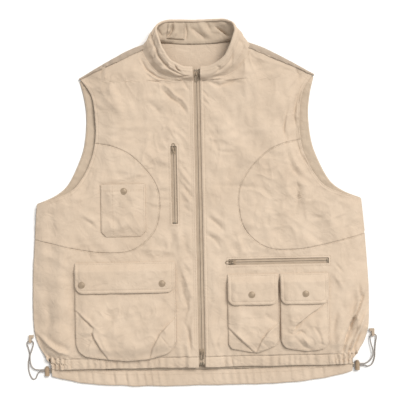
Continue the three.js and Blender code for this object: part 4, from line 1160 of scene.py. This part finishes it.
def lining_place(u, v):
    up = v * 1.08 - 0.08
    spot, _ = collar_face(u, np.clip(up, 0, 1) * 0.95, 2.0 + 1.4 * to_front(u))
    below = np.clip(-up / 0.08, 0, 1) * np.clip((spot[:, 1] - 316) / 4, 0, 1)
    spot[:, 1] = spot[:, 1] - 5 * below
    spot[:, 2] = spot[:, 2] + (2.4 - spot[:, 2]) * below ** 0.7
    return spot[:, 0], spot[:, 1], spot[:, 2]


collar = cut_cloth("collar_outer_cloth", shaped_grid(300, 46, outer_place), shell_cloth,
                   "collar_outer", 1.2)
neck_lining = cut_cloth("collar_inner_cloth", shaped_grid(300, 26, lining_place), lining_cloth,
                        "collar_lining", 1.0)


# ---- Collar patch ----
# A plain square of the lining cloth sewn inside the back of the collar, left blank.
patch_start, patch_wide, patch_depth = 22, 36, 3.9
collar_length = float(run_along((seam_line + top_line) / 2)[-1])


def patch_place(u, v):
    """A point of the patch: u across from the wearer's left, v up the band."""
    around = 0.5 + (patch_start + patch_wide * (1 - u)) / collar_length
    spot, out = collar_face(around, 0.08 + 0.76 * v, patch_depth)
    edge = np.minimum(np.minimum(u, 1 - u), np.minimum(v, 1 - v))
    return spot[:, 0], spot[:, 1], spot[:, 2] + 1.6 * smooth_step(edge / 0.08)


bm = shaped_grid(30, 26, patch_place)
face_up(bm)
cut_cloth("collar_patch_cloth", bm, lining_cloth, None, 0.8)


# ---- Zips ----
# Spiral zips with the coil behind: the woven tape shows, with a fine double ridge down its middle
# where the coil is sewn to it. The front zip is two-way, and each pocket has a short one.
def tape_finish():
    finish, tree, shader = blank_finish("zip_tape_weave", 0.72, 0.3, sheen=0.1)
    place = add_node(tree, "TexCoord").outputs["Object"]
    parts = add_node(tree, "SeparateXYZ", Vector=place)
    x, y = parts.outputs[0], parts.outputs[1]
    turns = 2 * math.pi / (1.3 * mm)
    rib = maths(tree, "SINE", maths(tree, "MULTIPLY", maths(tree, "ADD", x, y), turns))
    thread = maths(tree, "SINE", maths(tree, "MULTIPLY", maths(tree, "SUBTRACT", x, y), turns))
    twill = maths(tree, "MULTIPLY_ADD", maths(tree, "ADD", rib, thread), 0.25, 0.5)
    worn = add_node(tree, "TexNoise", Vector=place, Scale=70.0, Detail=4.0).outputs["Fac"]
    tone = maths(tree, "MULTIPLY_ADD", worn, 0.7, maths(tree, "MULTIPLY", twill, 0.3))
    colour = blend_colours(tree, tone, linear(158, 139, 119), linear(195, 177, 156))
    tree.links.new(colour, shader.inputs["Base Color"])
    raise_bump(tree, shader, twill, 0.2 * mm)
    return finish


zip_tape = tape_finish()


def coil_turns():
    """Nylon wire wound into a coil: a ridge for each turn along the zip."""
    tree, given, gives = effect("zip_coil_turns", Run=0.0)
    place = add_node(tree, "TexCoord").outputs["Object"]
    turn = maths(tree, "SINE", maths(tree, "MULTIPLY", given["Run"], 2 * math.pi / (1.4 * mm)))
    worn = add_node(tree, "TexNoise", Vector=place, Scale=160.0, Detail=3.0).outputs["Fac"]
    tone = maths(tree, "MULTIPLY_ADD", turn, 0.25, worn)
    colour = blend_colours(tree, tone, linear(138, 120, 101), linear(180, 162, 142))
    rough = maths(tree, "MULTIPLY_ADD", worn, 0.25, 0.3)
    return put_out(tree, gives, colour, rough, turn)


wound_coil = coil_turns()


def coil_finish(name, axis):
    """The coil's finish on a zip that runs along x (0) or y (1)."""
    finish, tree, shader = blank_finish(name, 0.42, 0.5)
    place = add_node(tree, "TexCoord").outputs["Object"]
    run = add_node(tree, "SeparateXYZ", Vector=place).outputs[axis]
    wear(tree, shader, wound_coil, 0.2 * mm, Run=run)
    return finish


upright_coil = coil_finish("zip_coil_upright", 1)
level_coil = coil_finish("zip_coil_level", 0)


def tumbled_metal():
    """Metal with fine tumbled scratches and rubbed patches."""
    tree, given, gives = effect("tumbled_metal", Dark=linear(132, 113, 93), Light=linear(184, 165, 142),
                                Least_Roughness=0.25)
    place = add_node(tree, "TexCoord").outputs["Object"]
    cloud = add_node(tree, "TexNoise", Vector=place, Scale=260.0, Detail=4.0).outputs["Fac"]
    drawn = add_node(tree, "Mapping", Vector=place, Scale=(300, 2600, 300)).outputs[0]
    scratch = add_node(tree, "TexNoise", Vector=drawn, Scale=1.0, Detail=2.0).outputs["Fac"]
    tone = maths(tree, "MULTIPLY_ADD", scratch, 0.4, maths(tree, "MULTIPLY", cloud, 0.6))
    colour = blend_colours(tree, tone, given["Dark"], given["Light"])
    rough = maths(tree, "MULTIPLY_ADD", tone, 0.3, given["Least Roughness"])
    return put_out(tree, gives, colour, rough, tone)


rubbed_surface = tumbled_metal()


def metal_finish(name, dark, light, roughness, metallic):
    finish, tree, shader = blank_finish(name, roughness, 0.5, metallic)
    wear(tree, shader, rubbed_surface, 0.05 * mm, Dark=dark, Light=light,
         Least_Roughness=roughness - 0.15)
    return finish


painted_metal = metal_finish("painted_metal", linear(132, 113, 93), linear(184, 165, 142), 0.4, 0.35)
bare_metal = metal_finish("brushed_brass_grey", linear(128, 116, 100), linear(182, 170, 152), 0.36, 0.85)


def repaint(finish, slot, *names):
    """Gives CAD nodes whose shape is right their finish."""
    for name in names:
        nodes[name].data.materials.clear()
        nodes[name].data.materials.append(finish)


def tape_strip(bm, middle, low, high, side, upright):
    """One tape beside the line where a zip closes, with the ridge over its coil."""
    long = int((high - low) / 4)
    part = bmesh.new()
    bmesh.ops.create_grid(part, x_segments=22, y_segments=long, size=1)
    for vert in part.verts:
        w = (vert.co.x + 1) / 2
        across = 0.3 + (w if side > 0 else 1 - w) * 11.5
        run = low + (high - low) * (vert.co.y + 1) / 2
        ridge = 0.42 * math.exp(-((across - 1.7) / 0.75) ** 2)
        ridge = ridge - 0.25 * math.exp(-((across - 3.6) / 0.6) ** 2)
        lift = max(0.0, min(1.0, (run - 243) / 24)) ** 2 * 4.0 if middle == 0 else 0
        x, y = (middle + side * across, run) if upright else (run, middle - side * across)
        vert.co = (x * mm, y * mm, (20.15 + ridge + lift) * mm)
    data = bpy.data.meshes.new("strip")
    part.to_mesh(data)
    part.free()
    bm.from_mesh(data)
    bpy.data.meshes.remove(data)


for name, spots in (("left_zip_tape", [(0, -326, 266, 1, True)]),
                    ("right_zip_tape", [(0, -326, 266, -1, True)]),
                    ("chest_zip_tape", [(-49, -50, 120, 1, True), (-49, -50, 120, -1, True)]),
                    ("waist_zip_tape", [(-122, 49, 264, 1, False), (-122, 49, 264, -1, False)])):
    bm = bmesh.new()
    for middle, low, high, side, upright in spots:
        tape_strip(bm, middle, low, high, side, upright)
    face_up(bm)
    tape = finish_piece(name + "_woven", bm, zip_tape)
    thicken(tape, 0.8)
    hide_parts(name)
repaint(upright_coil, "zip_coil", "left_zip_coil", "right_zip_coil", "chest_zip_coil")
repaint(level_coil, "zip_coil", "waist_zip_coil")
repaint(painted_metal, "painted_metal", "top_slider", "bottom_slider", "chest_zip_slider",
        "waist_zip_slider")
repaint(bare_metal, "bare_metal", "top_slider_pull", "bottom_slider_pull", "chest_zip_pull",
        "waist_zip_pull")
repaint(lining_cloth, "lining_cloth", "chest_zip_bag", "waist_zip_bag")


def zip_stop(name, x, y, z, wide, long, high):
    """A small metal clip pressed round the end of the teeth."""
    bm = bmesh.new()
    bmesh.ops.create_cube(bm, size=1)
    bmesh.ops.scale(bm, verts=bm.verts, vec=(wide * mm, long * mm, high * mm))
    bmesh.ops.bevel(bm, geom=bm.edges, offset=0.45 * mm, segments=3, profile=0.5, affect="EDGES",
                    material=-1)
    middle = [e for e in bm.edges if abs(e.verts[0].co.y - e.verts[1].co.y) > 0.5 * long * mm]
    bmesh.ops.subdivide_edges(bm, edges=middle, cuts=3)
    for vert in bm.verts:
        pinch = 1 - 0.16 * math.cos(vert.co.y / (long * mm) * math.pi) ** 2
        vert.co.x *= pinch
    bmesh.ops.translate(bm, verts=bm.verts, vec=(x * mm, y * mm, z * mm))
    finish_piece(name, bm, bare_metal)


for side, name in ((1, "left"), (-1, "right")):
    zip_stop(name + "_zip_top_stop", side * 2.1, 264, 23.2, 3.2, 3.6, 1.4)
    zip_stop(name + "_zip_bottom_stop", side * 2.1, -323, 20.9, 3.2, 4.4, 2.0)
zip_stop("chest_zip_stop", -49, -40.6, 20.9, 7.5, 2.6, 1.8)
zip_stop("waist_zip_stop", 254.6, -122, 20.9, 2.6, 7.5, 1.8)


# ---- Zip welts ----
# The cloth is turned under round each pocket zip, which leaves a narrow folded frame.
def welt(name, window, side):
    """The rolled edge of one opening, as rings of its section from the inside out."""
    x0, x1, y0, y1 = window
    corner = 0.5
    middle_x, middle_y = (x0 + x1) / 2, (y0 + y1) / 2
    half_x, half_y = (x1 - x0) / 2 - 0.4, (y1 - y0) / 2 - 0.4
    section = [(0, -1.0), (-0.25, -0.2), (0.2, 0.3), (1.2, 0.45), (2.4, 0.3), (3.1, -0.3), (3.3, -1.2)]
    bm = bmesh.new()
    rings = []
    for out, up in section:
        points = []
        bend = corner + max(out, 0)
        for sx, sy, start in ((-1, -1, 2), (1, -1, 3), (1, 1, 0), (-1, 1, 1)):
            for step in range(5):
                turn = math.pi / 2 * (start + step / 4)
                points.append((middle_x + sx * (half_x - corner) + bend * math.cos(turn),
                               middle_y + sy * (half_y - corner) + bend * math.sin(turn)))
        closed = np.array(points + points[:1])
        run = run_along(closed)
        line = points_at(closed, run, np.linspace(0, run[-1], 161)[:-1])
        base = np.maximum(front_height(line[:, 0], line[:, 1], side), 21.4)
        ring = [bm.verts.new((px * mm, py * mm, (pz + up) * mm)) for (px, py), pz in zip(line, base)]
        rings.append([bm.edges.new(pair) for pair in zip(ring, ring[1:] + ring[:1])])
    for inner, outer in zip(rings, rings[1:]):
        bmesh.ops.bridge_loops(bm, edges=inner + outer)
    face_up(bm)
    thicken(finish_piece(name, bm, shell_cloth), 0.5)


welt("chest_zip_welt", zip_windows[-1], -1)
welt("waist_zip_welt", zip_windows[1], 1)


# ---- Snap fasteners ----
# Painted pressed-steel caps, domed with a rolled rim, clinched through the cloth to a socket ring
# under it. Their studs are fixed to the layer below.
def snap_cap(name, x, y, under, face, body):
    """A cap turned about its post, with its socket ring below the cloth."""
    profile = [(0, face + 1.25), (2.2, face + 1.2), (4.2, face + 0.95), (4.9, face + 0.7),
               (5.3, face + 0.75), (6.1, face + 0.85), (6.6, face + 0.6), (6.7, face + 0.2),
               (6.3, face - 0.1), (2.4, face - 0.15), (2.3, under + 0.6), (5.4, under + 0.5),
               (5.7, under), (5.4, under - 0.9), (4.3, under - 1.4), (3.5, under - 0.9), (3.3, under),
               (0, under + 0.1)]
    bm = bmesh.new()
    ring = [bm.verts.new((r * mm, 0, z * mm)) for r, z in profile]
    edges = [bm.edges.new(pair) for pair in zip(ring, ring[1:])]
    bmesh.ops.spin(bm, geom=ring + edges, cent=(0, 0, 0), axis=(0, 0, 1), dvec=(0, 0, 0),
                   angle=2 * math.pi, steps=40, use_merge=True, use_duplicate=False)
    bmesh.ops.remove_doubles(bm, verts=bm.verts, dist=0.01 * mm)
    bmesh.ops.translate(bm, verts=bm.verts, vec=(x * mm, y * mm, 0))
    bmesh.ops.recalc_face_normals(bm, faces=bm.faces)
    cap = finish_piece(name + "_turned", bm, painted_metal, body=body)
    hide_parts(name)


cap_places = [("cargo_snap_1_cap", *snap_points["cargo_flap"][0], "cargo_flap"),
              ("cargo_snap_2_cap", *snap_points["cargo_flap"][1], "cargo_flap"),
              ("inner_snap_cap", *snap_points["inner_flap"][0], "inner_flap"),
              ("outer_snap_cap", *snap_points["outer_flap"][0], "outer_flap")]
under_flap, on_flap = 31.7, 33.75
for name, x, y, flap in cap_places:
    snap_cap(name, x, y, under_flap, on_flap, flap)
snap_cap("chest_snap_cap", -149.5, 24.5, 26.9, 29.3, "vest")
repaint(bare_metal, "bare_metal", "cargo_snap_1_stud", "cargo_snap_2_stud", "inner_snap_stud",
        "outer_snap_stud", "chest_snap_stud")


# ---- Cord locks, eyelets and side tabs ----
# Each lock is a moulded barrel and plunger that a coil spring pushes apart, so that the plunger's
# hole grips the cord. The brass eyelets are pressed into the casings, and the tabs are zip tape.
lock_plastic = metal_finish("lock_plastic", linear(140, 118, 94), linear(172, 150, 124), 0.45, 0.0)
spring_steel = metal_finish("spring_steel", linear(130, 130, 130), linear(170, 170, 170), 0.3, 0.9)
repaint(lock_plastic, "lock_plastic", "left_lock_barrel", "right_lock_barrel", "left_lock_plunger",
        "right_lock_plunger")
repaint(bare_metal, "bare_metal", "left_cord_eyelet", "right_cord_eyelet")
lock_x, lock_z = 313, 5
spring_foot, spring_start, spring_long = -342.82, -342.4, 2.4
spring_radius, wire_radius, spring_turns, steps_round = 2.1, 0.28, 3, 24
for side, name in ((1, "left"), (-1, "right")):
    bm = bmesh.new()
    bmesh.ops.create_circle(bm, segments=8, radius=wire_radius * mm)
    bmesh.ops.translate(bm, verts=bm.verts,
                        vec=((side * lock_x + spring_radius) * mm, spring_start * mm, lock_z * mm))
    steps = spring_turns * steps_round
    bmesh.ops.spin(bm, geom=bm.verts[:] + bm.edges[:], steps=steps, angle=2 * math.pi * spring_turns,
                   cent=(side * lock_x * mm, spring_start * mm, lock_z * mm), axis=(0, 1, 0),
                   dvec=(0, spring_long / steps * mm, 0), use_duplicate=False)
    bmesh.ops.holes_fill(bm, edges=bm.edges, sides=0)
    bmesh.ops.recalc_face_normals(bm, faces=bm.faces)
    spring = finish_piece(name + "_lock_spring_coil", bm, spring_steel, name + "_lock")
    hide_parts(name + "_lock_spring")
    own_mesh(spring)
repaint(zip_tape, "zip_tape", "left_side_tab", "right_side_tab")


# ---- Topstitching ----
# Rows of thread along every seam: each stitch is a short grain that sits in the cloth.
def thread_finish():
    finish, tree, shader = blank_finish("stitching_thread", 0.6, 0.35, sheen=0.2)
    place = add_node(tree, "TexCoord").outputs["Object"]
    cloud = add_node(tree, "TexNoise", Vector=place, Scale=90.0, Detail=3.0).outputs["Fac"]
    tree.links.new(blend_colours(tree, cloud, linear(150, 129, 106), linear(180, 159, 135)),
                   shader.inputs["Base Color"])
    twist = add_node(tree, "TexWave", Vector=place, Scale=900.0).outputs["Fac"]
    raise_bump(tree, shader, twist, 0.06 * mm)
    return finish


thread = thread_finish()
thread_lift = 0.1
stitch_half = 1.1
pen_slot = -172
stitch_shape = bmesh.new()
bmesh.ops.create_icosphere(stitch_shape, subdivisions=1, radius=1)
bmesh.ops.scale(stitch_shape, verts=stitch_shape.verts, vec=(1.15 * mm, 0.27 * mm, 0.2 * mm))
stitch_mesh = bpy.data.meshes.new("stitch")
stitch_shape.to_mesh(stitch_mesh)
stitch_shape.free()


def stitches(name, lines, height, body="vest", pitch=3.1):
    """Rows of stitches: lines in plan on the face height(x, y), or paths in space if it is None."""
    bm = bmesh.new()
    for line in lines:
        line = np.asarray(line, float)
        run = run_along(line)
        count = max(2, int(run[-1] / pitch))
        middle = (np.arange(count) + 0.5) * run[-1] / count
        ends = [points_at(line, run, middle + half) for half in (-stitch_half, stitch_half)]
        if height is not None:
            ends = [np.column_stack([e, height(e[:, 0], e[:, 1]) + thread_lift]) for e in ends]
        for a, b in zip(*ends):
            start, stop = Vector(a) * mm, Vector(b) * mm
            if (stop - start).length < 0.5 * mm:
                continue
            turn = (stop - start).to_track_quat("X", "Z").to_matrix().to_4x4()
            first = len(bm.verts)
            bm.from_mesh(stitch_mesh)
            bm.verts.ensure_lookup_table()
            bmesh.ops.transform(bm, matrix=Matrix.Translation((start + stop) / 2) @ turn,
                                verts=bm.verts[first:])
    finish_piece(name, bm, thread, body)


for side, name in ((1, "left"), (-1, "right")):
    def face(x, y):
        return front_height(x, y, side)
    flip = (side, 1)
    above_hem = np.array([(0, -308), (0, 242)])
    rows = [(above_hem + (9.4, 0)) * flip, (above_hem + (14, 0)) * flip,
            inside_of(inset_seam, 1.7)[2:-2] * flip, inside_of(inset_seam, -1.7)[2:-2] * flip,
            inside_of(armhole_front, -6.5)[4:-6] * flip,
            inside_of(armhole_front, -1.8)[4:-6] * flip,
            inside_of(neck_seam, -2.4)[3:-3] * flip]
    stitches(name + "_front_stitching", rows, face)
    hem_rows = [np.array([(10, -308.4), (250, -308.4), (282, -304)]) * flip]
    stitches(name + "_casing_stitching", hem_rows, face)
for side, name in ((-1, "chest"), (1, "waist")):
    x0, x1, y0, y1 = zip_windows[side]
    frame_row = [(x0 - 3.6, y0 - 3.6), (x1 + 3.6, y0 - 3.6), (x1 + 3.6, y1 + 3.6), (x0 - 3.6, y1 + 3.6),
                 (x0 - 3.6, y0 - 3.6)]
    stitches(name + "_zip_stitching", [frame_row], lambda x, y: front_height(x, y, side))
for seed, (name, flap) in enumerate(flaps.items()):
    def on_flap(x, y):
        return flap_face(x, y, flap, 120 + seed * 4)
    tip, turn = flap["hinge"] - flap_drop, flap["radius"]
    rows = []
    for inset_by in (2.0, 7.0):
        arc = np.linspace(0, math.pi / 2, 9)
        r = turn - inset_by
        left_arc = np.column_stack([flap["left"] + turn - r * np.cos(arc), tip + turn - r * np.sin(arc)])
        right_arc = left_arc[::-1] * (-1, 1) + (flap["left"] + flap["right"], 0)
        top = flap["hinge"] - 4
        rows.append(np.vstack([[(flap["left"] + inset_by, top)], left_arc, right_arc,
                               [(flap["right"] - inset_by, top)]]))
    hinge_row = flap["hinge"] - 2.6
    rows.append(np.array([(flap["left"] + 2, hinge_row), (flap["right"] - 2, hinge_row)]))
    stitches(name + "_stitching", rows, on_flap, body=name)

for seed, (name, pocket) in enumerate(pockets.items()):
    def on_pocket(x, y):
        return pocket_face(x, y, pocket, 70 + 10 * seed)
    y = np.linspace(pocket["top"] - 1, pocket["bottom"] + 3.4, 60)
    left_side = np.column_stack([pocket["left"] + 3.2 + corner_tuck(y, pocket) * 0.86, y])
    right_side = (left_side * (-1, 1) + (pocket["left"] + pocket["right"], 0))[::-1]
    foot = np.linspace(left_side[-1], right_side[0], 30)
    row = np.vstack([left_side, foot, right_side])
    share = (row[:, 1] - pocket["bottom"]) / (pocket["top"] - pocket["bottom"])
    rows = [np.column_stack([row[:, 0], bow_down(row[:, 0], share, pocket)])]
    if name == "chest_pocket":
        for drop in (11, 13.5):
            rows.append(np.array([(pocket["left"] + 2, pocket["top"] - drop),
                                  (pocket["right"] - 2, pocket["top"] - drop)]))
        rows.append(np.array([(pen_slot, pocket["top"] - 2), (pen_slot, pocket["bottom"] + 4)]))
    stitches(name + "_stitching", rows, on_pocket)
along = np.linspace(0.01, 0.99, 90)
for side, name in ((1, "left"), (-1, "right")):
    strip_edge = np.column_stack(wrap_place(side)(along, 0 * along + 0.97)) + (0, 0, 0.15)
    facing_edge = np.column_stack(facing_place(side)(0 * along + (0.86 if side > 0 else 0.14), along))
    stitches(name + "_shoulder_stitching", [strip_edge], None)
    stitches(name + "_facing_stitching", [facing_edge + (0, 0, thread_lift)], None)
along = np.linspace(0.01, 0.99, 200)
stitches("collar_stitching", [np.column_stack(outer_place(along, 0 * along + v)) for v in (0.2, 0.66)], None)
square = [(0.06, 0.06), (0.94, 0.06), (0.94, 0.94), (0.06, 0.94), (0.06, 0.06)]
square = np.vstack([np.linspace(a, b, 12) for a, b in zip(square, square[1:])])
stitches("collar_patch_stitching", [np.column_stack(patch_place(*square.T)) + (0, 0, thread_lift)], None,
         pitch=2.6)
along = np.linspace(0.02, 0.98, 240)
tail_rows = [np.column_stack(tail_place(along, 0 * along + v)) + (0, 0, thread_lift)
             for v in (0.2, 0.42)]
stitches("tail_stitching", tail_rows, None)
